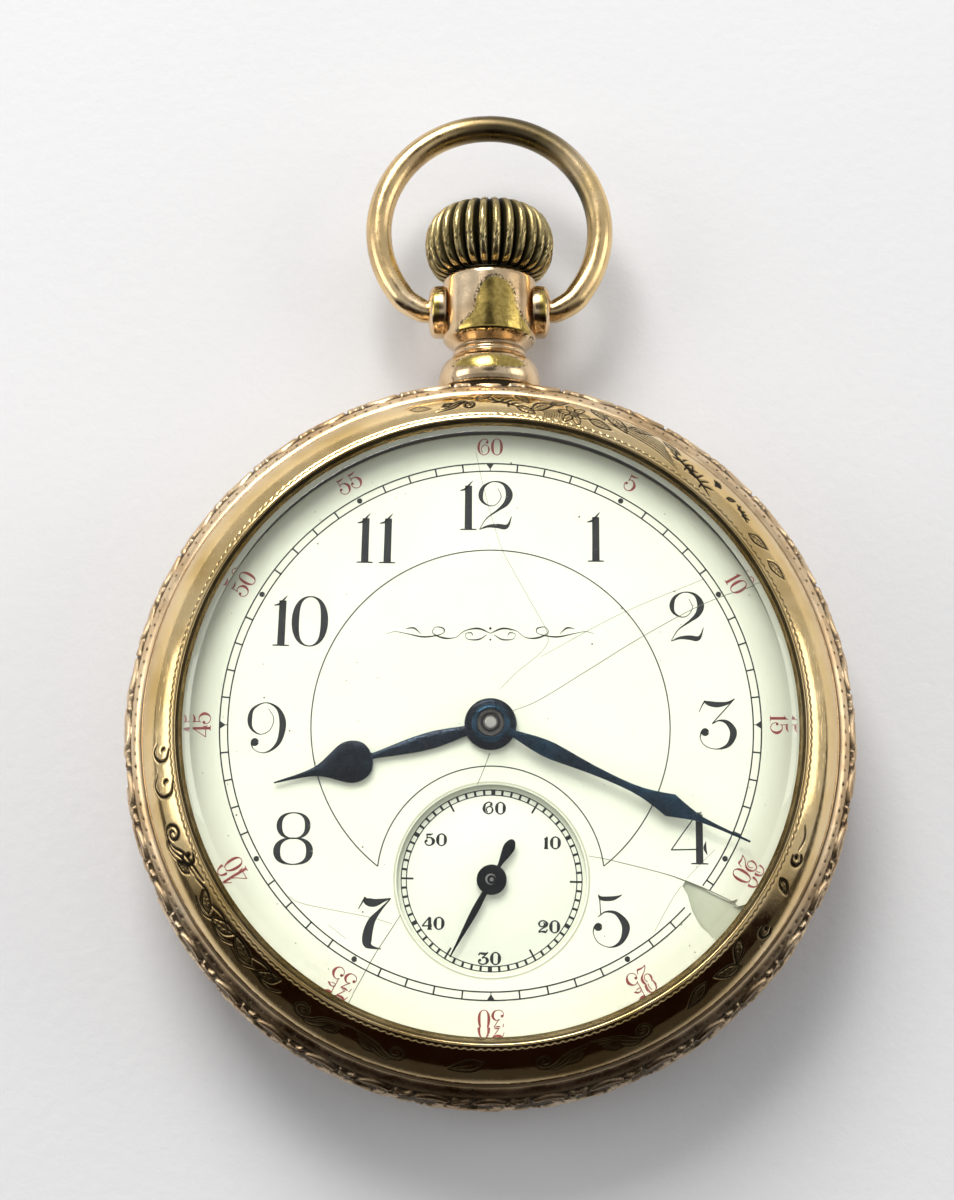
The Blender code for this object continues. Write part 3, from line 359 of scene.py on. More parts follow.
def curve_through(knots, steps=8):
    """A smooth line through knots of any dimension."""
    k = np.array(knots, float)
    k = np.vstack([2 * k[0] - k[1], k, 2 * k[-1] - k[-2]])
    out = []
    for a, b, c, d in zip(k[:-3], k[1:-2], k[2:-1], k[3:]):
        for t in np.arange(steps) / steps:
            square, cube = 2 * a - 5 * b + 4 * c - d, 3 * b - a - 3 * c + d
            out.append(0.5 * (2 * b + (c - a) * t + square * t**2 + cube * t**3))
    out.append(k[-2])
    return np.array(out)


def lattice(rows, cols, wrap_rows=True):
    """Quads of a grid whose columns wrap."""
    faces = []
    for i in range(rows if wrap_rows else rows - 1):
        a, b = i * cols, ((i + 1) % rows) * cols
        for j in range(cols):
            k = (j + 1) % cols
            faces.append((a + j, a + k, b + k, b + j))
    return faces


def end_caps(rows, cols):
    return [tuple(range(cols)), tuple(range((rows - 1) * cols, rows * cols))]


def ring_grid(profile, count):
    """Points of a (radius, z) profile swept round Z, clockwise from 12 o'clock."""
    turn = 2 * math.pi * np.arange(count) / count
    profile = np.asarray(profile, float)
    x = np.outer(profile[:, 0], np.sin(turn))
    y = np.outer(profile[:, 0], np.cos(turn))
    z = np.repeat(profile[:, 1:2], count, axis=1)
    return np.stack([x, y, z], axis=-1)


def spun(name, profile, count, paint, body, slot, replaced=(), centre=(0, 0, 0), axis="Z", wrap=True,
         **fields):
    """A turned piece. With wrap off the profile's ends close on flat discs."""
    grid = ring_grid(profile, count)
    rows = len(profile)
    points = grid.reshape(-1, 3)
    if axis == "X":
        points = np.stack([points[:, 2], points[:, 0], points[:, 1]], axis=1)
    points = points + np.array(centre, float)
    faces = lattice(rows, count, wrap)
    if not wrap:
        faces += end_caps(rows, count)
    made = build(name, points, faces, paint, body, slot, replaced, **fields)
    if not wrap:
        made.data.polygons[-1].use_smooth = made.data.polygons[-2].use_smooth = False
    return sharpen(made, 38)


def thicken(line, density):
    """A (radius, z) line with points about this far apart in mm."""
    out = [np.array(line[0], float)]
    for a, b in zip(line[:-1], line[1:]):
        a, b = np.array(a, float), np.array(b, float)
        n = max(1, int(round(np.linalg.norm(b - a) / density)))
        out += [a + (b - a) * (i + 1) / n for i in range(n)]
    return out


# ------------------------------------------------- engraving on a turned band

class Band:
    """A dense turned surface that a graver works on: u runs clockwise and v along the section, in mm."""

    def __init__(self, section, count):
        self.section = np.asarray(section, float)
        self.count = count
        steps = np.linalg.norm(np.diff(self.section, axis=0), axis=1)
        self.v = np.concatenate([[0], np.cumsum(steps)])
        self.reach = float(self.section[:, 0].mean()) * 2 * math.pi
        self.pitch = self.reach / count
        self.bold = 1
        self.cut = np.zeros((len(self.v), count))
        self.rise = np.zeros((len(self.v), count))

    def work(self, line, target, half_widths, amount, rounded=False):
        for (u, v), half in zip(line, half_widths):
            low, high = np.searchsorted(self.v, (v - half - 0.02, v + half + 0.02))
            if low >= high:
                continue
            first, last = math.floor((u - half) / self.pitch), math.ceil((u + half) / self.pitch)
            cols = np.arange(first, last + 1)
            away = np.hypot(self.v[low:high, None] - v, cols[None, :] * self.pitch - u) / max(half, 1e-6)
            value = np.sqrt(np.clip(1 - away**2, 0, 1)) if rounded else np.clip(1 - away, 0, 1)
            patch = target[low:high, cols % self.count]
            target[low:high, cols % self.count] = np.maximum(patch, value * amount)

    def line(self, origin, knots, width, amount=1, tilt=0, scale=1, raised=False, taper=True):
        """One stroke: knots are local (u, v) points. origin is (degrees clockwise, v)."""
        path = curve_through([(k[0], k[1]) for k in knots], 12) * scale
        c, s = math.cos(tilt), math.sin(tilt)
        path = path @ np.array([[c, s], [-s, c]])
        path = path + np.array([origin[0] / 360 * self.reach, origin[1]])
        length = np.concatenate([[0], np.cumsum(np.linalg.norm(np.diff(path, axis=0), axis=1))])
        n = max(3, int(length[-1] / 0.04))
        even = np.linspace(0, length[-1], n)
        path = np.stack([np.interp(even, length, path[:, k]) for k in (0, 1)], axis=1)
        swell = np.sin(np.pi * np.linspace(0.06, 0.97, n)) ** 0.6 if taper else np.ones(n)
        target = self.rise if raised else self.cut
        half = 0.5 * width * (1 if raised else self.bold) * swell + 0.035
        self.work(path, target, half, amount, raised)

    def dot(self, origin, du, dv, width, amount=1, raised=False):
        u = origin[0] / 360 * self.reach + du
        self.work([(u, origin[1] + dv)], self.rise if raised else self.cut, [0.5 * width], amount, raised)


def spiral(turns, radius, start=0, way=1):
    """Knots of a scroll that winds in."""
    n = int(turns * 8)
    out = []
    for i in range(n + 1):
        t = i / n
        r = radius * (1 - 0.86 * t)
        a = start + way * turns * 2 * math.pi * t
        out.append((r * math.cos(a), r * math.sin(a)))
    return out


def comma_mark(band, at, size, way=1, depth=1):
    knots = [(way * 0.75, 0.45), (way * 0.1, 0.85), (-way * 0.6, 0.35), (-way * 0.55, -0.4),
             (way * 0.25, -0.75)]
    band.line(at, knots, 0.26, depth, scale=size)
    band.line(at, [(way * 0.15, 0.05), (way * 0.32, -0.12), (way * 0.3, -0.35)], 0.28, depth, scale=size)


def leaf_mark(band, at, size, tilt, veins=4, depth=0.8):
    top = [(-1, 0), (-0.3, 0.42), (0.45, 0.3), (1.1, 0)]
    low = [(-1, 0), (-0.3, -0.36), (0.45, -0.26), (1.1, 0)]
    for side in (top, low):
        band.line(at, side, 0.15, depth, tilt, size)
    band.line(at, [(-0.9, 0), (0, 0.05), (0.95, 0)], 0.07, depth * 0.7, tilt, size)
    for i in range(veins):
        x = -0.55 + 1.2 * i / veins
        for way in (1, -1):
            vein = [(x, 0), (x + 0.12, way * 0.14), (x + 0.3, way * 0.24)]
            band.line(at, vein, 0.05, depth * 0.6, tilt, size)


def scroll_mark(band, at, size, way=1, depth=1):
    band.line(at, spiral(1.55, 0.62, math.pi * 0.5, -way), 0.2, depth, scale=size)
    for k, (shift, reach) in enumerate(((0, 3.4), (0.26, 2.9), (0.52, 2.2))):
        knots = [(way * 0.1, 0.62 - shift * 0.3), (-way * 0.7, 0.3 + shift),
                 (-way * (1.5 + 0.2 * k), -0.35 + shift), (-way * reach, -0.75 + shift * 1.4)]
        band.line(at, knots, 0.17 - 0.03 * k, depth, scale=size)
    leaf_mark(band, (at[0] - way * 4.6 * size, at[1] + 0.25), 0.62 * size, way * 0.45, 3, depth)


def flower_mark(band, at, size, depth=0.75):
    for k in range(6):
        a = k * math.pi / 3
        out = [(0.2, 0), (0.55, 0.26), (1, 0.16), (1.12, 0), (1, -0.16), (0.55, -0.26), (0.2, 0)]
        band.line(at, out, 0.09, depth, a, size)
        band.line(at, [(0.3, 0), (0.65, 0.03), (0.95, 0)], 0.05, depth * 0.7, a, size)
    for k in range(5):
        x = -0.28 + 0.14 * k
        for tilt in (0.8, -0.8):
            band.line(at, [(x, -0.3), (x + 0.05, 0), (x, 0.3)], 0.04, depth * 0.6, tilt, size)


def sprig_mark(band, at, size, way=1, depth=1):
    band.line(at, [(-1.6, 0.9), (-0.6, 0.45), (0.4, 0.1), (1.5, -0.35)], 0.2, depth, scale=size)
    twigs = [(-0.9, 0.55, -0.35, 0.8), (-0.3, 0.35, 0.25, 0.75), (0.1, 0.2, 0.55, 0.6),
             (0.5, 0.05, 0.9, 0.35),
             (-0.4, 0.35, -0.7, -0.1), (0.3, 0.1, 0.1, -0.5)]
    for x, y, dx, dy in twigs:
        band.line(at, [(x, y), (x + dx * 0.5, y + dy * 0.6), (x + dx, y + dy)], 0.15, depth, scale=size)


def outward(band):
    """Outward normals of the section, as (radius, z) parts."""
    along = np.gradient(band.section, axis=0)
    along /= np.linalg.norm(along, axis=1)[:, None]
    return np.stack([-along[:, 1], along[:, 0]], axis=1)


def banded(band, rest, depth, height):
    """Points and soil of a closed ring: the worked band, then the rest of the section."""
    out = outward(band)
    move = height * band.rise - depth * band.cut
    turn = 2 * math.pi * np.arange(band.count) / band.count
    r = band.section[:, 0:1] + move * out[:, 0:1]
    z = band.section[:, 1:2] + move * out[:, 1:2]
    worked = np.stack([r * np.sin(turn), r * np.cos(turn), z], axis=-1)
    grid = np.concatenate([worked, ring_grid(rest, band.count)], axis=0)
    soil_and_shade = np.zeros(grid.shape[:2])
    soil_and_shade[: len(band.v)] = np.clip(band.cut * 2.3, 0, 1)
    return grid, soil_and_shade


# ------------------------------------------------------------------- bezel

def cut_rope(band):
    """The fine zigzag line next to the glass, heavier on one side of each beat."""
    u = np.linspace(0, band.reach, 3600, endpoint=False)
    wave = np.sin(2 * math.pi * u / 0.62)
    beat = np.where(wave > -0.35, 0.055, 0.02)
    band.work(list(zip(u, 0.2 + 0.055 * wave)), band.cut, beat + 0.03, 0.5)


# Marks on the bezel: (degrees clockwise, mm down the slope), then what each mark takes after that.
BEZEL_MARKS = {
    comma_mark: [((245.5, 0.85), 0.7, 1), ((127.5, 2), 0.7, -1), ((114.5, 1.2), 0.62, -1, 0.9)],
    scroll_mark: [((250.5, 1.45), 1.25, 1), ((213, 1.7), 1.15, 1, 0.55), ((196, 1.7), 1.1, -1, 0.4),
                  ((171, 1.7), 1.1, 1, 0.4), ((154, 1.7), 1.15, -1, 0.55), ((356.2, 1.45),
                                                                                0.8, 1, 0.95)],
    leaf_mark: [((184, 1.7), 1.25, 0.3, 4, 0.4), ((143, 1.6), 1.1, 0.4, 4, 0.8), ((136.5, 1.9),
                                                                                      1.15, -0.5, 3, 0.95),
                ((133, 1.2), 0.95, 0.8, 3, 0.95), ((119.5, 1.2), 0.7, 1.1, 2), ((61.5, 1.1),
                                                                                  0.95, 0.3, 3),
                ((55.5, 1.15), 0.95, 0.35, 3), ((46.8, 2), 0.42, 0.9, 1), ((22.6, 2.3),
                                                                             1.35, -0.7, 5, 0.95),
                ((20, 1.2), 1, -0.2, 4, 0.85), ((9.4, 1.75), 1.15, 0.7, 5, 0.9), ((6.4, 1),
                                                                                      0.85, -0.4, 3, 0.9),
                ((347.5, 1.7), 0.8, -0.3, 3, 0.5)],
    sprig_mark: [((50, 1.7), 0.5), ((40.5, 0.85), 0.95), ((36.5, 1.35), 0.9, 1, 0.9), ((2.6, 1.5),
                                                                                         0.85, 1, 0.95)],
    flower_mark: [((15, 1.5), 1.1, 0.95)],
}


def make_bezel():
    lip = [(23.06, 13.28), (23.06, 13.72), (23.09, 13.86), (23.18, 13.92)]
    slope = curve_through([(23.28, 13.915), (23.7, 13.78), (24.3, 13.38), (24.9, 12.88), (25.4, 12.28),
                           (25.8, 11.6),
                           (26, 11.05), (26.02, 10.85)], 12)
    band = Band(thicken(slope.tolist(), 0.085), 1600)
    cut_rope(band)
    band.bold = 1.1
    comma_mark(band, (264.6, 1.05), 0.95)
    comma_mark(band, (258.8, 1.15), 1.2)
    band.bold = 1.45
    for mark, rows in BEZEL_MARKS.items():
        for row in rows:
            mark(band, *row)
    for at, size, tilt in ((237.5, 0.95, -0.5), (232.5, 1.15, 0.4), (227, 1.2, -0.3), (221, 1.05, 0.5)):
        leaf_mark(band, (at, 1.25), size, tilt, 3, 0.9)
        band.line((at + 1.8, 0.7), [(-1.4, 0.5), (-0.2, 0), (1.2, 0.35)], 0.16, 0.9)
        band.line((at - 1, 2), [(-1, -0.4), (0, 0.15), (1.2, -0.2)], 0.14, 0.9)
    for at, size, tilt in ((359, 1, 0.9), (5.5, 0.95, -1), (12, 0.9, 0.8), (19, 1, -0.9),
                           (27, 1.1, 0.5),
                           (33, 0.9, -0.4)):
        leaf_mark(band, (at, 2.75), size, tilt, 5, 0.8)
    band.line((110.5, 1.1), [(-0.9, -0.2), (0, 0.15), (1, 0)], 0.12, 0.8)
    for k in range(6):
        hatch = [(-0.3 + 0.1 * k, -0.42), (-0.24 + 0.1 * k, 0), (-0.34 + 0.1 * k, 0.42)]
        band.line((43.3, 2.35), hatch, 0.09, 0.9, 0.5)
        sweep = [(-3.6 + 0.3 * k, 0.75), (-1.6, 0.45), (0.6, 0.2), (3 - 0.35 * k, -0.4)]
        band.line((29.5, 0.95 + 0.27 * k), sweep, 0.085, 0.75)
    for k in range(9):
        reed = [(-0.9 + 0.2 * k, -0.5), (-0.7 + 0.2 * k, 0), (-0.95 + 0.2 * k, 0.5)]
        band.line((11.5, 0.95), reed, 0.06, 0.7, 0.3)
    rest = [(26.02, 10.76), (25.3, 10.76), (25.25, 11.85), (24.2, 12.25), (22.5, 12.55), (22.5, 13.26)] + lip
    grid, soil_and_shade = banded(band, rest, 0.08, 0)
    # Dirt and painted shade: the lip's rows, in the groove between glass and bezel, are darkened.
    soil_and_shade[-len(lip):-1] = 0.9
    build("engraved_bezel", grid, lattice(len(grid), band.count),
          bezel_gold, "bezel", "case_gold",
          ("bezel",), grime=soil_and_shade)


# --------------------------------------------------------------- case centre

def centre_section(reach=88, n=96):
    """The case centre's outer section, a flattened bulge from its top to its bottom edge."""
    turns = [math.radians(reach - 2 * reach * i / (n - 1)) for i in range(n)]
    return [(26.05 + 1.69 * math.cos(a) ** 0.92, 6.4 + 4.05 * math.sin(a)) for a in turns]


BORDER = 3.05  # from the middle of the centre band to its knotted borders


def chase_period(band, k, middle, step):
    """One repeat of the raised scrollwork, with its leaves and the knots of its two borders."""
    at = (360 * k * step / band.reach, middle)
    jolt = random.uniform(-0.12, 0.12)
    flip = 1 if k % 2 else -1
    s_line = [(-2.1, -flip * 0.2), (-1.2, -flip * 1.5), (0, 0), (1.2, flip * 1.5), (2.2, flip * 0.2)]
    band.line(at, s_line, 0.62, 0.95, raised=True, taper=False)
    for x, y, lean in ((-1.55, -0.55, 1.9), (-0.55, -0.75, 2.6), (0.55, 0.75, -0.5), (1.55, 0.55, -1.2)):
        tip = (x + 0.75 * math.cos(lean), flip * (y + 0.75 * math.sin(lean)))
        bend = ((x + tip[0]) / 2 + 0.14, (flip * y + tip[1]) / 2 + 0.1)
        band.line(at, [(x, flip * y), bend, tip], 0.42, 0.85, raised=True)
    band.line(at, spiral(1.3, 0.85, 0.4, flip), 0.42, raised=True)
    for side in (1, -1):
        leafy = [(side * 0.9 + jolt, side * 0.5), (side * 1.5 + jolt, side * 1.5), (side * 1.1, side * 2.5)]
        band.line(at, leafy, 0.85, 0.9, raised=True)
        band.line(at, [(p[0] - side * 0.9, p[1] + side * 0.15) for p in leafy], 0.5, 0.75, raised=True)
        v = side * BORDER
        band.line(at, [(-1.15, v), (0, v + side * 0.12), (1.15, v)], 0.8, raised=True)
        for way in (1, -1):
            cross = [(step / 2 - 0.55, v - way * 0.32), (step / 2, v), (step / 2 + 0.55, v + way * 0.32)]
            band.line(at, cross, 0.22, 0.95, raised=True, taper=False)
        band.line(at, [(-0.8, v - side * 0.05), (0, v + side * 0.05), (0.8, v - side * 0.05)], 0.16, 0.75)


def make_centre():
    band = Band(centre_section(), 1500)
    middle = band.v[-1] / 2
    periods = 40
    for k in range(periods):
        chase_period(band, k, middle, band.reach / periods)
    beads = 168
    for side in (1, -1):
        for k in range(beads):
            wide = random.uniform(0.24, 0.34)
            shift = random.uniform(-0.1, 0.1)
            band.dot((360 * k / beads + 0.4, middle), shift, side * 4.05, wide, random.uniform(0.6, 1))
    zone = (np.abs(band.v - middle) < 3.62)[:, None]
    ground = noise_of.uniform(0, 0.16, band.rise.shape)
    band.rise = np.where((band.rise < 0.1) & zone, ground, band.rise)
    rest = [(26.05, 2.32), (24.9, 2.35), (24.9, 2.05), (24, 1.75), (22.9, 1.85), (22.9, 8.2), (21.5, 8.2),
            (21.5, 9), (24, 9), (24, 11.6), (25, 11.6), (25, 10.46), (26.05, 10.46)]
    grid, soil_and_shade = banded(band, rest, 0.09, 0.26)
    last = len(band.v)
    soil_and_shade[:last] = np.maximum(soil_and_shade[:last], np.where(zone, np.clip(1 - band.rise * 2.1, 0, 1), 0))
    soil_and_shade[last:] = 0.25
    soil_and_shade[[0, 1, last - 2, last - 1, last, -1, -2]] = 0.7
    build("chased_case_centre", grid, lattice(len(grid), band.count),
          centre_gold, "watch_case",
          "case_gold", ("case_center",), grime=soil_and_shade)


# ---------------------------------------------------------------- back cover

def make_back():
    line = curve_through([(26.02, 2.02), (25.75, 1.45), (24.6, 0.88), (22.2, 0.46), (18.5, 0.2),
                          (13.5, 0.03),
                          (8, 0.012), (3, 0.006)], 8)
    band = Band(thicken(line.tolist(), 0.24), 900)
    radii = band.section[:, 0]
    turn = 2 * math.pi * np.arange(band.count) / band.count
    waved = ((radii > 7.2) & (radii < 18.6))[:, None]
    waves = 0.5 + 0.5 * np.cos(36 * turn[None, :] + 2.6 * np.sin(radii[:, None] * 1.1))
    band.cut = np.where(waved, 0.55 * waves**3, 0)
    border = float(np.interp(-22, -radii, band.v))
    for k in range(16):
        at = (22.5 * k, border)
        band.line(at, [(-3.4, 0.9), (-1.6, -0.9), (0.6, 0.2), (2.8, 1.1)], 0.3, 0.9, scale=0.95)
        band.line(at, spiral(1.2, 0.9, 0.5, 1), 0.24, 0.9)
    for radius, width in ((7, 0.24), (18.9, 0.24), (24.3, 0.2)):
        band.cut[np.abs(radii - radius) < width] = 0.8
    rest = [(0.4, 0), (0.4, 0.74), (13.5, 0.75), (20, 1), (25.2, 1.6), (25.2, 2.02)]
    grid, soil_and_shade = banded(band, rest, 0.045, 0)
    grid[..., 2] = np.maximum(grid[..., 2], 0)
    # Flat discs close the section's ends in place of the quads between them.
    faces = lattice(len(grid), band.count)
    outer, inner = (len(band.v) * band.count, (len(band.v) + 1) * band.count)
    del faces[outer:inner]
    faces += [tuple(range(outer, inner)), tuple(range(inner, inner + band.count))]
    build("back_cover_engraved", grid,
          faces, back_gold, "back_cover", "case_gold", ("back_cover",),
          grime=soil_and_shade * 0.8)


# -------------------------------------------------------------------- glass

def make_glass():
    edge = [(22.6, 13.32), (22.94, 13.32), (23, 13.38), (23, 13.46), (22.02, GLASS_TOP - 0.01),
            (21.96, GLASS_TOP), (21.6, GLASS_TOP)]
    spun("bevelled_glass", edge, 360, glass("watch_glass"), "bezel", "glass", ("crystal",), wrap=False)


# ------------------------------------------------------------ pendant and bow

PATCH = [(-2.6, 31.8), (-2.4, 32.3), (-1.3, 33.3), (-1.1, 34.4), (-0.76, 35.4), (-0.3, 35.95), (0.55, 36.2),
         (1.4, 35.85), (1.96, 35.1), (2.1, 34.2), (2.45, 33.3), (3.25, 32.3), (3.4, 31.8)]


def signed_distance(points, outline):
    """Distance to a closed outline in mm, positive inside."""
    p = np.asarray(points, float)
    o = np.asarray(outline, float)
    inside = np.zeros(len(p), bool)
    best = np.full(len(p), 1e9)
    for a, b in zip(o, np.roll(o, -1, axis=0)):
        ab = b - a
        t = np.clip(((p - a) @ ab) / (ab @ ab), 0, 1)
        best = np.minimum(best, np.linalg.norm(p - a - t[:, None] * ab, axis=1))
        crosses = (a[1] > p[:, 1]) != (b[1] > p[:, 1])
        with np.errstate(divide="ignore", invalid="ignore"):
            at = a[0] + (p[:, 1] - a[1]) / (b[1] - a[1]) * (b[0] - a[0])
        inside ^= crosses & (p[:, 0] < at)
    return np.where(inside, best, -best)


def make_pendant():
    outside = curve_through([(3.8, 25.2), (3.72, 27.2), (3.9, 27.75), (4.06, 28.3), (4, 29),
                             (3.7, 29.75),
                             (3.25, 30.2), (2.98, 30.42)], 6).tolist()
    outside += [(2.93, 30.52), (2.97, 30.66), (2.94, 30.8), (2.78, 30.92), (2.74, 31.1), (2.8, 31.25)]
    outside += curve_through([(2.95, 31.38), (3.3, 31.62), (3.6, 31.85), (3.72, 32.1),
                              (3.74, 32.5)], 4).tolist()
    outside += thicken([(3.74, 32.6), (3.74, 36.7)], 0.16)
    outside += [(3.7, 36.86), (3.58, 36.96), (3.4, 37), (2.4, 37), (2.4, 25.2)]
    count = 160
    grid = ring_grid(outside, count)
    x, up, along = grid[..., 0].ravel(), grid[..., 1].ravel(), grid[..., 2].ravel()
    points = np.stack([x, along, up + PENDANT_Z], axis=1)
    front = up > 0
    neck = signed_distance(points[:, :2], PATCH)
    angle = np.degrees(np.arctan2(x, up))
    collar = 1 - np.hypot(angle / 46, (along - 29.1) / 0.6)
    worn = np.maximum(np.clip(neck / 0.12, 0, 1), np.clip(collar / 0.12, 0, 1)) * front
    rim = np.maximum(np.exp(-(neck / 0.14) ** 2), np.exp(-(collar / 0.07) ** 2)) * front
    soil_and_shade = np.zeros(len(x))
    soil_and_shade[(along < 27.6)] = 0.97
    soil_and_shade[(along > 30.86) & (along < 31.2)] = 0.6
    soil_and_shade[(along > 36.9)] = 0.7
    build("pendant_neck", points, lattice(len(outside), count),
          pendant_gold, "watch_case", "case_gold", ("pendant",),
          worn=worn, edge=rim, grime=soil_and_shade)
    dome = curve_through([(2.05, 3.45), (2.1, 3.7), (2.1, 4.25), (2.02, 4.52), (1.7, 4.76), (1.1, 4.88),
                          (0.35, 4.92)], 5)
    for side in (-1, 1):
        shape = [(r, side * reach) for r, reach in dome.tolist()]
        ledge = [0.35 * (i < 4) for i in range(len(shape)) for _ in range(64)]
        up = np.cos(2 * math.pi * np.arange(64) / 64)[None, :]
        reach = np.abs(np.array([p[1] for p in shape]))[:, None]
        rubbed = 1 - np.hypot((1 - up) / 0.24, (reach - 4.25) / 0.3)
        rubbed = np.where(reach < 4.85, rubbed, -1).ravel()
        spun("bow_boss_" + ("left" if side < 0 else "right"),
             shape, 64, pendant_gold, "watch_case", "case_gold",
             centre=(0, BOSS_Y, PENDANT_Z),
             axis="X", wrap=False, grime=ledge, worn=np.clip(rubbed / 0.15, 0, 1),
             edge=np.exp(-(rubbed / 0.12) ** 2))


def make_bow():
    ring_r, ring_y = 8.95, 41.3
    foot = math.asin((35.35 - ring_y) / ring_r)
    arc = [(ring_r * math.cos(a),
            ring_y + ring_r * math.sin(a)) for a in np.linspace(foot, math.pi / 2, 22)]
    half = curve_through([(4.35, 34.42), (4.9, 34.44), (5.5, 34.6)] + arc, 5)
    path = np.vstack([half, np.stack([-half[::-1, 0], half[::-1, 1]], axis=1)[1:]])
    n = len(path)
    travel = np.abs(np.linspace(-1, 1, n))
    radii = 1.02 + 0.03 * (1 - travel) - 0.2 * np.clip((travel - 0.86) / 0.14, 0, 1)
    ahead = np.gradient(path, axis=0)
    ahead /= np.linalg.norm(ahead, axis=1)[:, None]
    side = np.stack([-ahead[:, 1], ahead[:, 0]], axis=1)
    count = 40
    turn = 2 * math.pi * np.arange(count) / count
    across = path[:, None, :] + side[:, None, :] * (radii[:, None] * np.cos(turn))[..., None]
    up = PENDANT_Z + radii[:, None] * np.sin(turn)
    grid = np.concatenate([across, up[..., None]], axis=-1)
    faces = lattice(n, count, False) + end_caps(n, count)
    bearing = np.degrees(np.arctan2(path[:, 1] - ring_y, path[:, 0]))
    # Painted dark reflection: the ring's top is darkened through the grime mask, in a dirt colour that stays
    # glossy.
    top = np.exp(-np.abs((bearing - 77) / 36) ** 4)[:, None] * np.ones(count)
    inner = np.where(path[:, 0:1] > 0, 1, 0) * np.exp(-((bearing[:, None] - 25) / 30) ** 2)
    inner = inner * np.clip(np.cos(turn), 0, 1)[None, :] ** 0.7
    build("bow_ring", grid, faces, bow_gold, "bow", "bow_gold", ("bow",),
          grime=np.clip(np.maximum(top * 0.85, inner), 0, 1))


def make_crown():
    flutes, per = 28, 16
    count = flutes * per
    outline = curve_through([(3.1, 37.36), (3.8, 37.4), (4.45, 37.8), (4.95, 38.7), (5.17, 39.75),
                             (5.12, 40.8),
                             (4.85, 41.65), (4.35, 42.35), (3.55, 42.85), (2.5, 43.1), (1.2, 43.18)], 5)
    rows = len(outline)
    phase = (np.arange(count) % per) / per
    off = np.abs(phase - 0.5) * 2
    rib = np.sqrt(np.clip(1 - (off / 0.73) ** 2, 0, 1))
    deep = 0.62 * np.clip(np.sin(np.pi * np.linspace(0.1, 0.9, rows)), 0, 1) ** 0.8
    deep[0] = deep[-1] = 0.05
    turn = 2 * math.pi * np.arange(count) / count
    ragged = 1 + noise_of.uniform(-0.1, 0.1, (rows, count)) * (np.linspace(1, 0, rows)[:, None] ** 1.5)
    radius = outline[:, 0:1] - deep[:, None] * (1 - rib[None, :] * ragged)
    x, z = radius * np.sin(turn), radius * np.cos(turn) + PENDANT_Z
    y = np.repeat(outline[:, 1:2], count, axis=1)
    soil_and_shade = np.repeat(np.clip((1 - rib[None, :]) * 2.2 - 0.25, 0, 1), rows, axis=0)
    low = np.exp(-((np.linspace(0, 1, rows) - 0.34) / 0.13) ** 2)[:, None]
    pits = (noise_of.uniform(0, 1, (rows, count)) > 0.62) * low
    soil_and_shade = np.clip(np.maximum(soil_and_shade, pits * 0.9), 0, 1)
    points = np.stack([x, y, z], axis=-1)
    faces = lattice(rows, count, False) + end_caps(rows, count)
    build("fluted_crown", points, faces, crown_brass, "crown", "crown_brass", ("crown",),
          grime=soil_and_shade)


# ------------------------------------------------------------- dial printing

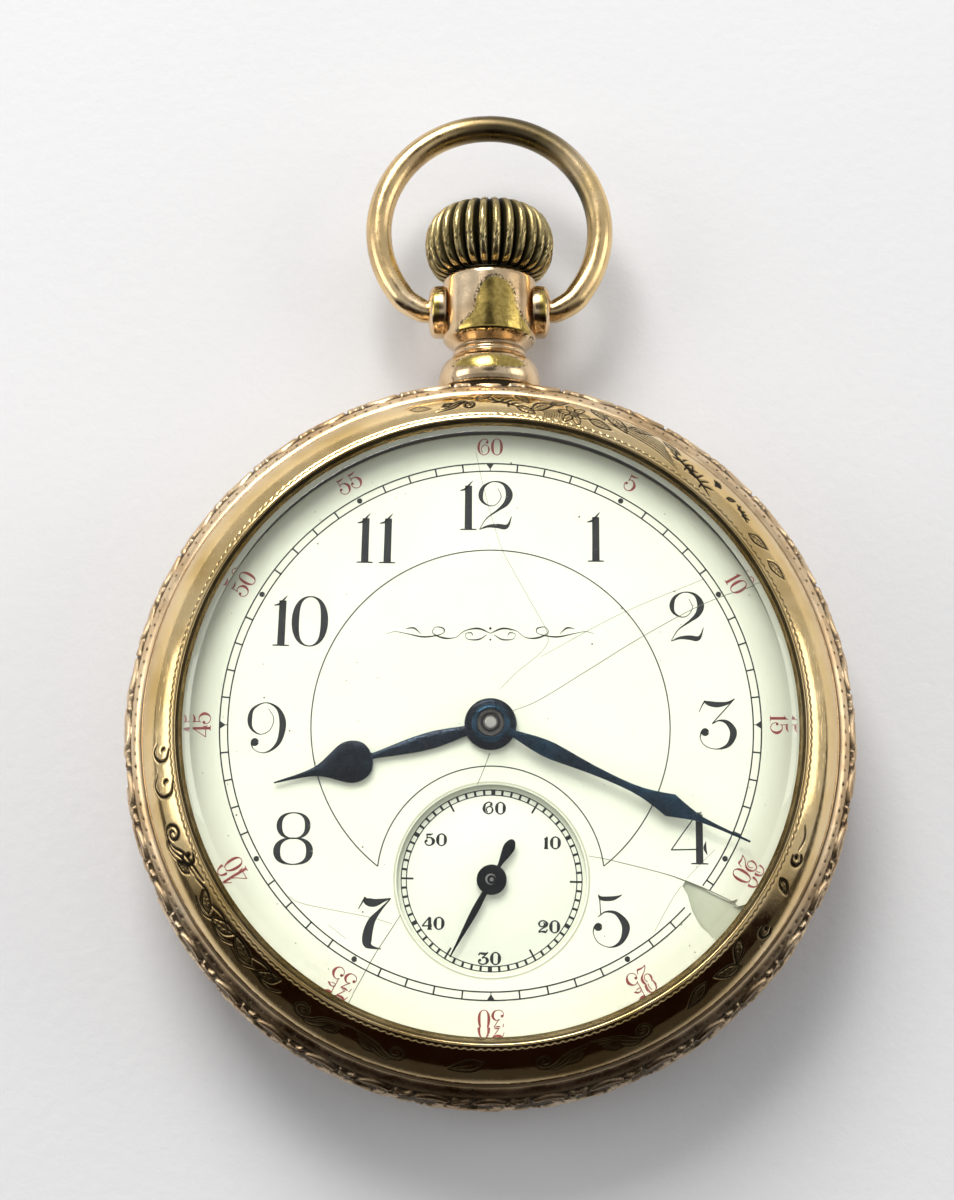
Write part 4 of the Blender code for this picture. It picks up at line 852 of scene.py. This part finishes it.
GLYPHS = {
    "1": [[(0, 0.8, 0.02), (0.1, 0.83, 0.04), (0.19, 0.93, 0.03), (0.25, 1, 0.008)],
          [(0.165, 0.9, 0.13), (0.163, 0.5, 0.13), (0.16, 0.03, 0.135)],
          [(0, 0.011, 0.022), (0.16, 0.014, 0.03), (0.32, 0.011, 0.022)]],
    "2": [[(0.39, 0.85, 0.01), (0.455, 0.68, 0.014), (0.373, 0.53, 0.014), (0.243, 0.487, 0.018),
           (0.095, 0.57, 0.05),
           (0.055, 0.72, 0.088), (0.12, 0.885, 0.055), (0.3, 0.982, 0.02), (0.51, 0.93, 0.055),
           (0.615, 0.74, 0.125),
           (0.56, 0.55, 0.1), (0.39, 0.4, 0.045), (0.17, 0.235, 0.02), (0.03, 0.02, 0.012)],
          [(0.03, 0.01, 0.012), (0.2, 0.075, 0.05), (0.39, 0.08, 0.085), (0.53, 0.06, 0.09),
           (0.605, 0.12, 0.045),
           (0.66, 0.28, 0.01)]],
    "3": [[(0.01, 0.73, 0.012), (0.07, 0.86, 0.02), (0.13, 0.955, 0.03)],
          [(0.11, 0.94, 0.03), (0.2, 0.9, 0.085), (0.36, 0.875, 0.1), (0.56, 0.905, 0.055),
           (0.7, 0.99, 0.012)],
          [(0.7, 0.99, 0.016), (0.475, 0.745, 0.02), (0.25, 0.5, 0.018)],
          [(0.25, 0.5, 0.018), (0.4, 0.565, 0.03), (0.56, 0.515, 0.085), (0.66, 0.33, 0.125),
           (0.565, 0.1, 0.08),
           (0.34, 0.012, 0.02), (0.12, 0.07, 0.016), (0.02, 0.22, 0.016), (0.05, 0.36, 0.03)],
          [(0.115, 0.34)]],
    "4": [[(0.5, 0.93, 0.06), (0.55, 0.96, 0.04), (0.6, 1, 0.008)],
          [(0.545, 0.95, 0.125), (0.55, 0.5, 0.125), (0.555, 0.03, 0.13)],
          [(0.39, 0.011, 0.022), (0.555, 0.014, 0.03), (0.72, 0.011, 0.022)],
          [(0.53, 0.99, 0.02), (0.27, 0.63, 0.02), (0.015, 0.265, 0.02)],
          [(0.01, 0.265, 0.024), (0.3, 0.275, 0.024), (0.55, 0.285, 0.024)],
          [(0.675, 0.44, 0.006), (0.655, 0.31, 0.055), (0.7, 0.18, 0.008)]],
    "5": [[(0.12, 0.995, 0.012), (0.18, 0.925, 0.07), (0.37, 0.92, 0.08), (0.5, 0.955, 0.04),
           (0.575, 0.995, 0.01)],
          [(0.145, 0.97, 0.018), (0.155, 0.78, 0.018), (0.165, 0.6, 0.02)],
          [(0.11, 0.575, 0.015), (0.26, 0.672, 0.03), (0.47, 0.635, 0.07), (0.635, 0.4, 0.14),
           (0.55, 0.12, 0.08),
           (0.335, 0.012, 0.02), (0.11, 0.1, 0.016), (0.02, 0.28, 0.016), (0.05, 0.41, 0.03)],
          [(0.115, 0.39)]],
    "7": [[(0.01, 0.76, 0.012), (0.08, 0.88, 0.02), (0.14, 0.985, 0.03)],
          [(0.12, 0.965, 0.03), (0.18, 0.9, 0.11), (0.31, 0.875, 0.115), (0.48, 0.92, 0.055),
           (0.62, 0.96, 0.012)],
          [(0.62, 0.955, 0.014), (0.42, 0.735, 0.045), (0.265, 0.535, 0.105), (0.19, 0.3, 0.14),
           (0.185, 0.12, 0.13),
           (0.27, 0.05, 0.055), (0.45, 0.012, 0.012)]],
    "9": [[(0.42, 0.87, 0.01), (0.525, 0.68, 0.014), (0.455, 0.455, 0.014), (0.27, 0.372, 0.016),
           (0.105, 0.48, 0.05),
           (0.065, 0.67, 0.085), (0.13, 0.87, 0.05), (0.365, 0.985, 0.018), (0.6, 0.87, 0.06),
           (0.7, 0.6, 0.12),
           (0.65, 0.27, 0.09), (0.51, 0.085, 0.045), (0.33, 0.012, 0.016), (0.155, 0.08, 0.014),
           (0.1, 0.2, 0.03)],
          [(0.17, 0.22)]],
}
BALL = 0.075
WIDTHS = {"0": 0.71, "1": 0.32, "2": 0.68, "3": 0.73, "4": 0.72, "5": 0.71,
          "6": 0.76, "7": 0.62, "8": 0.75, "9": 0.76}


def oval(cx, cy, rx, ry, thick, thin, n=40):
    """A closed bowl, heavy at the sides and fine at top and bottom."""
    out = []
    for i in range(n + 1):
        a = 2 * math.pi * i / n
        w = thin + (thick - thin) * abs(math.cos(a)) ** 1.8
        out.append((cx + (rx - w * 0.5) * math.cos(a), cy + (ry - thin / 2) * math.sin(a), w))
    return out


def glyph_strokes(digit):
    if digit == "0":
        return [oval(0.355, 0.5, 0.35, 0.5, 0.135, 0.022)]
    if digit == "8":
        return [oval(0.375, 0.745, 0.32, 0.255, 0.1, 0.02), oval(0.375, 0.26, 0.375, 0.26, 0.125, 0.022)]
    if digit == "6":
        return [[(WIDTHS["9"] - p[0], 1 - p[1], *p[2:]) for p in stroke] for stroke in GLYPHS["9"]]
    return GLYPHS[digit]


def ring_of(centre, radius, width, n):
    """A closed round stroke. One as wide as twice its radius is a full dot."""
    a = np.linspace(0, 2 * math.pi, n + 1)
    x, y = centre[0] + radius * np.cos(a), centre[1] + radius * np.sin(a)
    return np.stack([x, y, np.full(n + 1, width)], axis=1)


def figure(text, centre, height, turn=0, bold=1, least=0, gap=0.05, squeeze=1):
    """Strokes of a number, centred on a point and turned clockwise by this many degrees."""
    total = sum(WIDTHS[c] for c in text) + gap * (len(text) - 1) + (0.06 if text == "11" else 0)
    pen = -total / 2
    c, s = math.cos(math.radians(turn)), math.sin(math.radians(turn))
    strokes = []
    for digit in text:
        for stroke in glyph_strokes(digit):
            if len(stroke) == 1:
                x, y = stroke[0]
                knots = ring_of((x, y), BALL * 0.5, BALL, 16)
            elif digit in "08":
                knots = np.array(stroke)
            else:
                knots = curve_through(stroke, 6)
            x = (knots[:, 0] + pen) * height * squeeze
            y = (knots[:, 1] - 0.5) * height
            w = np.maximum(knots[:, 2] * bold, least / height) * height
            strokes.append(np.stack([centre[0] + c * x + s * y, centre[1] - s * x + c * y, w], axis=1))
        pen += WIDTHS[digit] + gap + (0.06 if text == "11" else 0)
    return strokes


def arc_line(centre, radius, width, start=0, end=360, n=240):
    """A printed circle or arc: degrees clockwise from 12."""
    a = np.radians(np.linspace(start, end, n + 1))
    x, y = centre[0] + radius * np.sin(a), centre[1] + radius * np.cos(a)
    return np.stack([x, y, np.full(n + 1, width)], axis=1)


def tick(centre, degrees, inner, outer, width, inner_width=None):
    a = math.radians(degrees)
    inner_width = width if inner_width is None else inner_width
    stops = ((inner, inner_width), ((inner + outer) / 2, (width + inner_width) / 2), (outer, width))
    return np.array([(centre[0] + r * math.sin(a), centre[1] + r * math.cos(a), w) for r, w in stops])


def spot(centre, radius):
    return ring_of(centre, radius * 0.5, radius, 18)


def print_strokes(name, strokes, z, paint, void=None):
    """Every stroke becomes a thin closed ribbon on the enamel, left out inside the void's outline."""
    points, faces = [], []
    for line in strokes:
        keep = np.ones(len(line), bool) if void is None else signed_distance(line[:, :2], void) < 0
        breaks = np.flatnonzero(np.diff(keep)) + 1
        for run, kept in zip(np.split(line, breaks), np.split(keep, breaks)):
            if len(run) < 2 or not kept[0]:
                continue
            ahead = np.gradient(run[:, :2], axis=0)
            ahead /= np.maximum(np.linalg.norm(ahead, axis=1), 1e-9)[:, None]
            side = np.stack([-ahead[:, 1], ahead[:, 0]], axis=1) * (run[:, 2:3] / 2)
            n, base = len(run), len(points)
            for level in (z, z + INK):
                for edge in (run[:, :2] + side, run[:, :2] - side):
                    points += [(p[0], p[1], level) for p in edge]
            ll, lr, ul, ur = (base + k * n for k in range(4))
            for i in range(n - 1):
                faces += [(ul + i, ul + i + 1, ur + i + 1, ur + i),
                          (ll + i, lr + i, lr + i + 1, ll + i + 1),
                          (ll + i, ll + i + 1, ul + i + 1, ul + i),
                          (lr + i, ur + i, ur + i + 1, lr + i + 1)]
            faces += [(ll, ul, ur, lr), (ll + n - 1, lr + n - 1, ur + n - 1, ul + n - 1)]
    return build(name, points, faces, paint, "watch_case", "enamel", smooth=False)


CHIP = [(13.94, -11.85), (14.24, -11.43), (15.34, -11.92), (15.95, -12.31), (17.4, -12.98), (18.55, -12.45),
        (18.2, -14.2), (16.9, -16), (15.94, -15.4), (15.24, -14.82), (14.62, -13.66), (14.32, -12.5)]
CRACKS_DARK = [
    [(-6.55, -13.94, 0.05), (-7.47, -15.36, 0.06), (-8.47, -16.92, 0.06), (-9.72, -19.18, 0.05),
     (-10.6, -20.6, 0.04)],
    [(7.11, -9.67, 0.03), (8.64, -9.95, 0.05), (12.55, -10.93, 0.06), (14.21, -11.5, 0.1),
     (15.6, -12.05, 0.08),
     (17.4, -12.9, 0.06), (18.6, -13.6, 0.04)],
    [(-0.06, -2.1, 0.05), (-0.5, -3.3, 0.05), (-0.98, -4.45, 0.05)],
    [(1.6, 1.02, 0.04), (3.68, 1.9, 0.05), (7.4, 4.2, 0.05), (11.31, 6.63, 0.05), (16.09, 9.2, 0.05),
     (20.68, 10.84, 0.06)],
]
CRACKS_PALE = [
    [(0.71, 2.68, 0.05), (1.9, 3.9, 0.06), (3.9, 5.6, 0.06), (4.25, 6.9, 0.06), (2.98, 9.4, 0.06),
     (1.9, 11.4, 0.06),
     (0.8, 13.6, 0.05), (-0.32, 17.46, 0.05), (-1.1, 21, 0.05)],
    [(3.71, 5.1, 0.05), (9.73, 8.38, 0.06), (15.99, 11.04, 0.05)],
    [(-14.71, -12.58, 0.05), (-13.54, -13.16, 0.06), (-8.92, -14.08, 0.06), (-7.19, -14.58, 0.05)],
    [(-11.79, -14.66, 0.04), (-10.49, -15.65, 0.05)],
    [(16.4, -9.2, 0.04), (15.08, -10.49, 0.05), (14.27, -11.34, 0.05)],
    [(13.87, -11.85, 0.05), (13.07, -13.02, 0.06), (11.86, -15.15, 0.05)],
]


def enamel_plate():
    """The dial's mesh: a rounded disc with a hole for the seconds dial."""
    outline = bpy.data.curves.new("enamel_dial", "CURVE")
    outline.dimensions = "2D"
    outline.fill_mode = "BOTH"
    outline.extrude = 0.22 * MM
    outline.bevel_depth = 0.07 * MM
    outline.bevel_resolution = 3
    for centre, radius, n in (((0, 0), 22.26, 240), (SECONDS_CENTRE, 7.02, 160)):
        spline = outline.splines.new("POLY")
        spline.use_cyclic_u = True
        spline.points.add(n - 1)
        for i, point in enumerate(spline.points):
            a = 2 * math.pi * i / n
            x, y = centre[0] + radius * math.cos(a), centre[1] + radius * math.sin(a)
            point.co = (x * MM, y * MM, 0, 1)
    source = placed("enamel_outline", outline)
    bpy.context.view_layer.update()
    mesh = bpy.data.meshes.new_from_object(source)
    bpy.data.objects.remove(source)
    mesh.transform(Matrix.Translation((0, 0, (DIAL_TOP - 0.29) * MM)))
    mesh.materials.clear()
    mesh.materials.append(dial_white)
    mesh.materials.append(chip_core)
    return mesh


def chip_tool():
    """A prism that cuts the chip out of the enamel."""
    n = len(CHIP)
    points = [(x * MM, y * MM, z * MM) for z in (DIAL_TOP - 0.16, DIAL_TOP + 0.5) for x, y in CHIP]
    faces = [tuple(range(n)), tuple(range(n, 2 * n))]
    faces += [(i, (i + 1) % n, n + (i + 1) % n, n + i) for i in range(n)]
    mesh = bpy.data.meshes.new("chip_tool")
    mesh.from_pydata(points, [], faces)
    mesh.materials.append(chip_core)
    outward_faces(mesh)
    return placed("chip_tool", mesh)


def make_dial_plate():
    dial = placed("enamel_dial", enamel_plate())
    tool = chip_tool()
    cut = dial.modifiers.new("chip", "BOOLEAN")
    cut.operation = "DIFFERENCE"
    cut.solver = "EXACT"
    cut.material_mode = "TRANSFER"
    cut.object = tool
    bpy.context.view_layer.update()
    finished = bpy.data.meshes.new_from_object(dial.evaluated_get(bpy.context.evaluated_depsgraph_get()))
    dial.modifiers.clear()
    dial.data = finished
    bpy.data.objects.remove(tool)
    sharpen(dial, 20)
    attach(dial, "watch_case")
    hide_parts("dial")


FIGURES = {"12": (-0.29, 16.78), "11": (-8.58, 14.22), "10": (-14.17, 7.84), "1": (7.95, 14.32),
           "2": (14.69, 8.19),
           "3": (16.83, 0.07), "9": (-16.61, -0.21), "8": (-14.44, -8.4), "7": (-8.47, -14.51),
           "4": (14.54, -8.35),
           "5": (8.72, -14.38)}
LEANING = {"10": 1.5, "11": 1, "4": 1}  # degrees clockwise
SECONDS_FIGURES = {"60": (0.27, -6.1), "10": (4.52, -8.65), "20": (4.24, -14.75), "30": (-0.1, -17.03),
                   "40": (-4.21, -14.5), "50": (-4.04, -8.42)}


def minute_track():
    marks = [arc_line((0, 0), 20.05, 0.1), arc_line((0, 0), 19.45, 0.1)]
    for degrees in range(0, 360, 6):
        if degrees % 90 == 0:
            marks.append(tick((0, 0), degrees, 19.62, 20, 0.55, 0.04))
            marks.append(tick((0, 0), degrees, 19.45, 19.7, 0.06))
        elif degrees % 30 == 0:
            a = math.radians(degrees)
            marks.append(spot((19.76 * math.sin(a), 19.76 * math.cos(a)), 0.21))
        else:
            marks.append(tick((0, 0), degrees, 19.45, 20.05, 0.12))
    return marks


def make_dial_print():
    black = minute_track()
    # The inner ring and the arc over the seconds dial meet in two cusps.
    cusp = math.degrees(math.atan2(8.25, -10.42))
    black.append(arc_line((0, 0), 13.29, 0.085, -cusp, cusp))
    lean = math.degrees(math.atan2(8.25, 0.95))
    black.append(arc_line((0, -11.37), 8.3, 0.085, -lean, lean, 120))
    for text, centre in FIGURES.items():
        gap = 0.06 if text == "11" else 0.03
        heavy = 1.3 if text == "7" else 1.08
        black += figure(text, centre, FIGURE_HEIGHT, LEANING.get(text, 0), heavy, gap=gap)
    print_strokes("dial_black_print", black + flourish(), DIAL_TOP, black_print, CHIP)
    red = []
    for k in range(12):
        a = math.radians(30 * k)
        centre = (21.36 * math.sin(a), 21.36 * math.cos(a))
        red += figure(str(5 * k or 60), centre, RED_HEIGHT, 30 * k, 1.2, 0.06, 0.08, 0.95)
    print_strokes("dial_red_figures", red, DIAL_TOP, red_print, CHIP)


def make_dial_wear():
    dark, pale = ([curve_through(crack, 8) for crack in group] for group in (CRACKS_DARK, CRACKS_PALE))
    print_strokes("dial_cracks_dark", dark, DIAL_TOP + 0.001, crack_dark)
    print_strokes("dial_cracks_pale", pale, DIAL_TOP - 0.004, crack_pale)
    specks = []
    for _ in range(95):
        a, r = random.uniform(0, 2 * math.pi), 21.8 * math.sqrt(random.random())
        x, y = r * math.sin(a), r * math.cos(a)
        if math.hypot(x - SECONDS_CENTRE[0], y - SECONDS_CENTRE[1]) > 7.2:
            specks.append(spot((x, y), random.choice((0.03, 0.035, 0.045, 0.07))))
    print_strokes("dial_specks", specks, DIAL_TOP + 0.001, crack_dark, CHIP)


def make_seconds_dial():
    disc = [(7.38, 10.72), (7.38, SECONDS_TOP - 0.05), (7.3, SECONDS_TOP), (0.5, SECONDS_TOP), (0.5, 10.72)]
    spun("seconds_enamel_disc", disc, 120, seconds_white, "watch_case", "enamel", ("seconds_dial",),
         centre=(*SECONDS_CENTRE, 0))
    tilt = 1.2
    small = [arc_line(SECONDS_CENTRE, 6.62, 0.075, n=160), arc_line(SECONDS_CENTRE, 6.24, 0.075, n=160)]
    for second in range(60):
        degrees = 6 * second + tilt
        if second % 10 == 5:
            small.append(tick(SECONDS_CENTRE, degrees, 5.72, 6.6, 0.14))
        else:
            small.append(tick(SECONDS_CENTRE, degrees, 6.24, 6.62, 0.3 if second % 10 == 0 else 0.17))
    for text, centre in SECONDS_FIGURES.items():
        small += figure(text, centre, SMALL_HEIGHT, tilt, 2.1, 0.1, 0.16, 1.14)
    print_strokes("seconds_print", small, SECONDS_TOP, black_print)
    recess = [arc_line(SECONDS_CENTRE, 7.12, 0.13)]
    print_strokes("seconds_recess_ring", recess, DIAL_TOP - 0.003, ring_olive)


def flourish():
    """A symmetric pen ornament in the place where a maker signs."""
    strokes = []
    for way in (1, -1):
        swash = [(0, 0.05, 0.05), (0.9, 0.42, 0.14), (1.9, 0.25, 0.06), (2.6, -0.25, 0.05),
                 (3.5, -0.3, 0.13),
                 (4.3, 0.08, 0.06), (4.1, 0.52, 0.05), (3.5, 0.42, 0.1), (3.6, 0.02, 0.05),
                 (4.9, -0.22, 0.12),
                 (6.2, 0.02, 0.06), (7.1, 0.18, 0.04), (7.75, 0.02, 0.03)]
        curl = [(0.25, -0.05, 0.04), (0.9, -0.42, 0.11), (1.7, -0.38, 0.05), (1.85, 0, 0.04),
                (1.45, 0.1, 0.08),
                (1.3, -0.12, 0.05)]
        leaf = [(5.2, 0.02, 0.03), (5.7, 0.45, 0.13), (6.3, 0.42, 0.04)]
        for line in (swash, curl, leaf):
            strokes.append(curve_through([(way * x, 6.85 + y, w) for x, y, w in line], 7))
    strokes.append(spot((0, 7.28), 0.1))
    strokes.append(spot((0, 6.42), 0.08))
    return strokes


# -------------------------------------------------------------------- hands

def make_hand(name, stations, levels, crown, degrees, centre, paint, body, sharp=False):
    """A hand along its own length: stations are (distance, half-width), levels are (under, top)."""
    line = np.array(stations, float) if sharp else curve_through(stations, 5)
    spread = np.array([-1, -0.985, -0.9, -0.6, -0.25, 0, 0.25, 0.6, 0.9, 0.985, 1])
    low, top = levels
    points = []
    for d, half in line:
        half = max(half, 0.03)
        rise = crown * min(1, half / 0.5)
        upper = top - 0.05 + 0.05 * np.sqrt(np.clip(1 - np.abs(spread) ** 8, 0, 1)) + rise * (1 - spread**2)
        points += [(d, half * s, z) for s, z in zip(spread, upper)]
        points += [(d, half * s, low) for s in (1, 0, -1)]
    count = len(spread) + 3
    faces = lattice(len(line), count, False) + end_caps(len(line), count)
    points = np.array(points)
    a = math.radians(degrees)
    x = centre[0] + points[:, 0] * math.cos(a) - points[:, 1] * math.sin(a)
    y = centre[1] + points[:, 0] * math.sin(a) + points[:, 1] * math.cos(a)
    made = build(name, np.stack([x, y, points[:, 2]], axis=1), faces, paint, body, "blued_steel", (body,))
    return sharpen(made, 40)


def make_hands():
    hour = [(1.2, 0.36), (2, 0.38), (3.1, 0.52), (4.3, 0.62), (5.4, 0.6), (6.3, 0.53), (7.4, 0.4),
            (8.4, 0.28), (9, 0.24), (9.12, 0.55), (9.35, 1.02), (9.8, 1.38), (10.5, 1.56), (11.2, 1.44),
            (12, 1), (12.8, 0.56), (13.6, 0.29), (14.6, 0.16), (15.8, 0.09), (16.5, 0.05)]
    make_hand("spade_hour_hand", hour, (12.16, 12.36), 0.1, 195.3, (0, 0), hour_blue, "hour_hand")
    minute = [(1.2, 0.28), (1.95, 0.28), (2.7, 0.4), (3.5, 0.53), (4.3, 0.61), (5, 0.62), (6, 0.54),
              (7, 0.44), (8.2, 0.34), (9.5, 0.28), (10.5, 0.26), (11.4, 0.28), (12.2, 0.35), (13, 0.5),
              (13.7, 0.66), (14.45, 0.87), (15.2, 0.64), (16, 0.41), (16.8, 0.22), (18, 0.14), (19.5, 0.1),
              (20.8, 0.07)]
    make_hand("lozenge_minute_hand", minute, (12.7, 12.88), 0.07, -24.8, (0, 0), minute_blue, "minute_hand",
              sharp=True)
    seconds = [(-3.32, 0.05), (-3.2, 0.24), (-2.75, 0.42), (-2.2, 0.36), (-1.6, 0.22), (-1.1, 0.15),
               (0, 0.2), (1, 0.2), (2.2, 0.25), (3.2, 0.23), (4.4, 0.15), (5.4, 0.09), (6.35, 0.05)]
    make_hand("leaf_seconds_hand", seconds, (11.66, 11.78),
              0.03, 241.4, SECONDS_CENTRE, seconds_black, "seconds_hand")
    hour_hub = [(0.75, 12.12), (1.86, 12.12), (1.93, 12.2), (1.93, 12.34), (1.84, 12.44), (1.55, 12.5),
                (0.75, 12.5)]
    spun("hour_hand_hub", hour_hub, 96, hour_blue, "hour_hand", "blued_steel")
    collet = [(0.62, 12.66), (1.38, 12.66), (1.46, 12.74), (1.46, 12.9), (1.36, 13.02), (1.14, 13.1),
              (1.04, 13.04), (1.02, 12.96), (0.62, 12.96)]
    spun("minute_hand_collet", collet, 96, minute_blue, "minute_hand", "blued_steel")
    washer = [(0.66, 12.94), (1, 12.94), (1, 13.06), (0.94, 13.12), (0.74, 13.12), (0.68, 13.02),
              (0.66, 13.02)]
    spun("minute_hand_bush", washer, 96, dull_steel, "minute_hand", "steel")
    pin = [(0.6, 12.9), (0.6, 13.1), (0.55, 13.18), (0.34, 13.2), (0.32, 13.15), (0.2, 13.15), (0.17, 13.2),
           (0.03, 13.22)]
    spun("centre_pin", pin, 64, dull_steel, "minute_hand", "steel", wrap=False)
    small_hub = [(0.15, 11.62), (1.06, 11.62), (1.1, 11.68), (1.1, 11.78), (1.02, 11.86), (0.34, 11.88),
                 (0.3, 11.94), (0.15, 11.94)]
    spun("seconds_hand_hub", small_hub, 64, seconds_black, "seconds_hand", "blued_steel",
         centre=(*SECONDS_CENTRE, 0))


# ----------------------------------------------------------------- movement

# Sections of a jewel under the train bridge, down from the bridge's lower side.
SETTING = [(0.62, -0.01), (1.05, -0.01), (1.05, -0.1), (0.98, -0.15), (0.7, -0.15), (0.62, -0.08)]
STONE = [(0.14, -0.02), (0.6, -0.02), (0.6, -0.06), (0.42, -0.13), (0.22, -0.13), (0.14, -0.08)]


def dress_movement():
    """Materials for the CAD nodes that stay, and jewels in their settings."""
    paints = {"nickel_plate": nickel_plate(),
              "brass_wheel": brass_wheel, "steel": steel, "blued_steel": screw_blue,
              "case_gold": centre_gold}
    slots = {row["node"]: row["material_slot"] for row in frame["record"]["subparts"]}
    for name, cad in frame["nodes"].items():
        paint = paints.get(slots.get(name), steel)
        cad.data.materials.clear()
        cad.data.materials.append(paint)
    red = ruby()
    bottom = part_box("train_bridge")[0].z / MM
    for name in ("third_pinion", "fourth_pinion", "escape_pinion", "balance_staff", "center_arbor"):
        low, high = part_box(name)
        x, y = (low.x + high.x) / 2 / MM, (low.y + high.y) / 2 / MM
        at = (x, y, bottom)
        spun("jewel_setting_" + name, SETTING, 40, brass_wheel, "watch_case", "brass_wheel", centre=at)
        spun("jewel_" + name, STONE, 40, red, "watch_case", "steel", centre=at)


# ------------------------------------------------------------ studio and camera

def make_paper():
    material, tree, bsdf = fresh("paper")
    fibre = grain(tree, 1.2, 8, rough=0.62)
    tone = ramp(tree, grain(tree, 60, 3), [(0.3, (0.8, 0.8, 0.81)), (0.7, (0.83, 0.83, 0.84))])
    where = node(tree, "SeparateXYZ", {0: node(tree, "TexCoord").outputs["Object"]}).outputs
    beside = math_of(tree, "MULTIPLY", math_of(tree, "ABSOLUTE", where["X"]), -0.35)
    shade = span(tree, math_of(tree, "ADD", where["Y"], beside), -0.046, -0.035, 0.98, 0)
    path = node(tree, "LightPath").outputs
    seen = math_of(tree, "SUBTRACT", path["Is Glossy Ray"], path["Is Transmission Ray"])
    tone = mix(tree, math_of(tree, "MULTIPLY", shade, seen), tone, (0.012, 0.008, 0.006))
    tree.links.new(tone, bsdf.inputs["Base Color"])
    bsdf.inputs["Roughness"].default_value = 0.85
    dent(tree, bsdf, [(fibre, 0.05)])
    mesh = bpy.data.meshes.new("paper_floor")
    reach = 1.5
    corners = [(-reach, -reach, 0), (reach, -reach, 0), (reach, reach, 0), (-reach, reach, 0)]
    mesh.from_pydata(corners, [], [(0, 1, 2, 3)])
    mesh.materials.append(material)
    placed("paper_floor", mesh)


def make_world():
    """Pale all round for the camera. Mirrored rays see a dark side below and a dark patch overhead."""
    world = bpy.data.worlds.new("studio")
    world.use_nodes = True
    tree = world.node_tree
    back = tree.nodes["Background"]
    where = node(tree, "TexCoord").outputs["Generated"]
    parts = node(tree, "SeparateXYZ", {0: where}).outputs
    dark = span(tree, parts["Y"], -0.44, -0.26, 1, 0)
    path = node(tree, "LightPath").outputs
    outside = math_of(tree, "SUBTRACT", 1, path["Is Transmission Ray"])
    dark = math_of(tree, "MULTIPLY", dark, outside)
    colour = mix(tree, dark, (0.95, 0.97, 1), (0.016, 0.006, 0.003))
    away = node(tree, "VectorMath", {0: where, 1: (0, 0.14, 1)}, operation="DISTANCE").outputs["Value"]
    ceiling = span(tree, away, 0.21, 0.32, 1, 0)
    mirrored = math_of(tree, "MULTIPLY", path["Is Glossy Ray"], outside)
    ceiling = math_of(tree, "MULTIPLY", ceiling, mirrored)
    colour = mix(tree, ceiling, colour, (0.07, 0.07, 0.065))
    colour = mix(tree, path["Is Camera Ray"], colour, (0.95, 0.97, 1))
    tree.links.new(colour, back.inputs["Color"])
    back.inputs["Strength"].default_value = 0.57
    bpy.context.scene.world = world


def make_lamps():
    lamps = [("key", (-0.14, 0.5, 0.46), 0.34, 3.7), ("side_left", (-0.5, 0.05, 0.26), 0.3, 0.6),
             ("side_right", (0.5, 0.08, 0.26), 0.3, 0.5)]
    for name, at, size, power in lamps:
        lamp = bpy.data.lights.new(name, "AREA")
        lamp.size = size
        lamp.energy = power
        lamp.color = (1, 0.98, 0.95)
        holder = placed(name, lamp)
        holder.location = at
        holder.rotation_euler = (Vector((0, 0, 0)) - Vector(at)).to_track_quat("-Z", "Y").to_euler()


def make_camera():
    lens = bpy.data.cameras.new("camera")
    lens.lens = 63
    lens.sensor_width = 36
    lens.clip_start = 0.005
    camera = placed("camera", lens)
    camera.location = (-0.001, -0.0236, 0.1662)
    camera.rotation_euler = (math.radians(12.12), 0, 0)
    bpy.context.scene.camera = camera
    bpy.context.scene.view_settings.view_transform = "Standard"


make_paper()
make_world()
make_lamps()
make_camera()
dress_movement()
make_bezel()
make_centre()
make_back()
make_glass()
make_pendant()
make_bow()
make_crown()
make_dial_plate()
make_dial_print()
make_dial_wear()
make_seconds_dial()
make_hands()
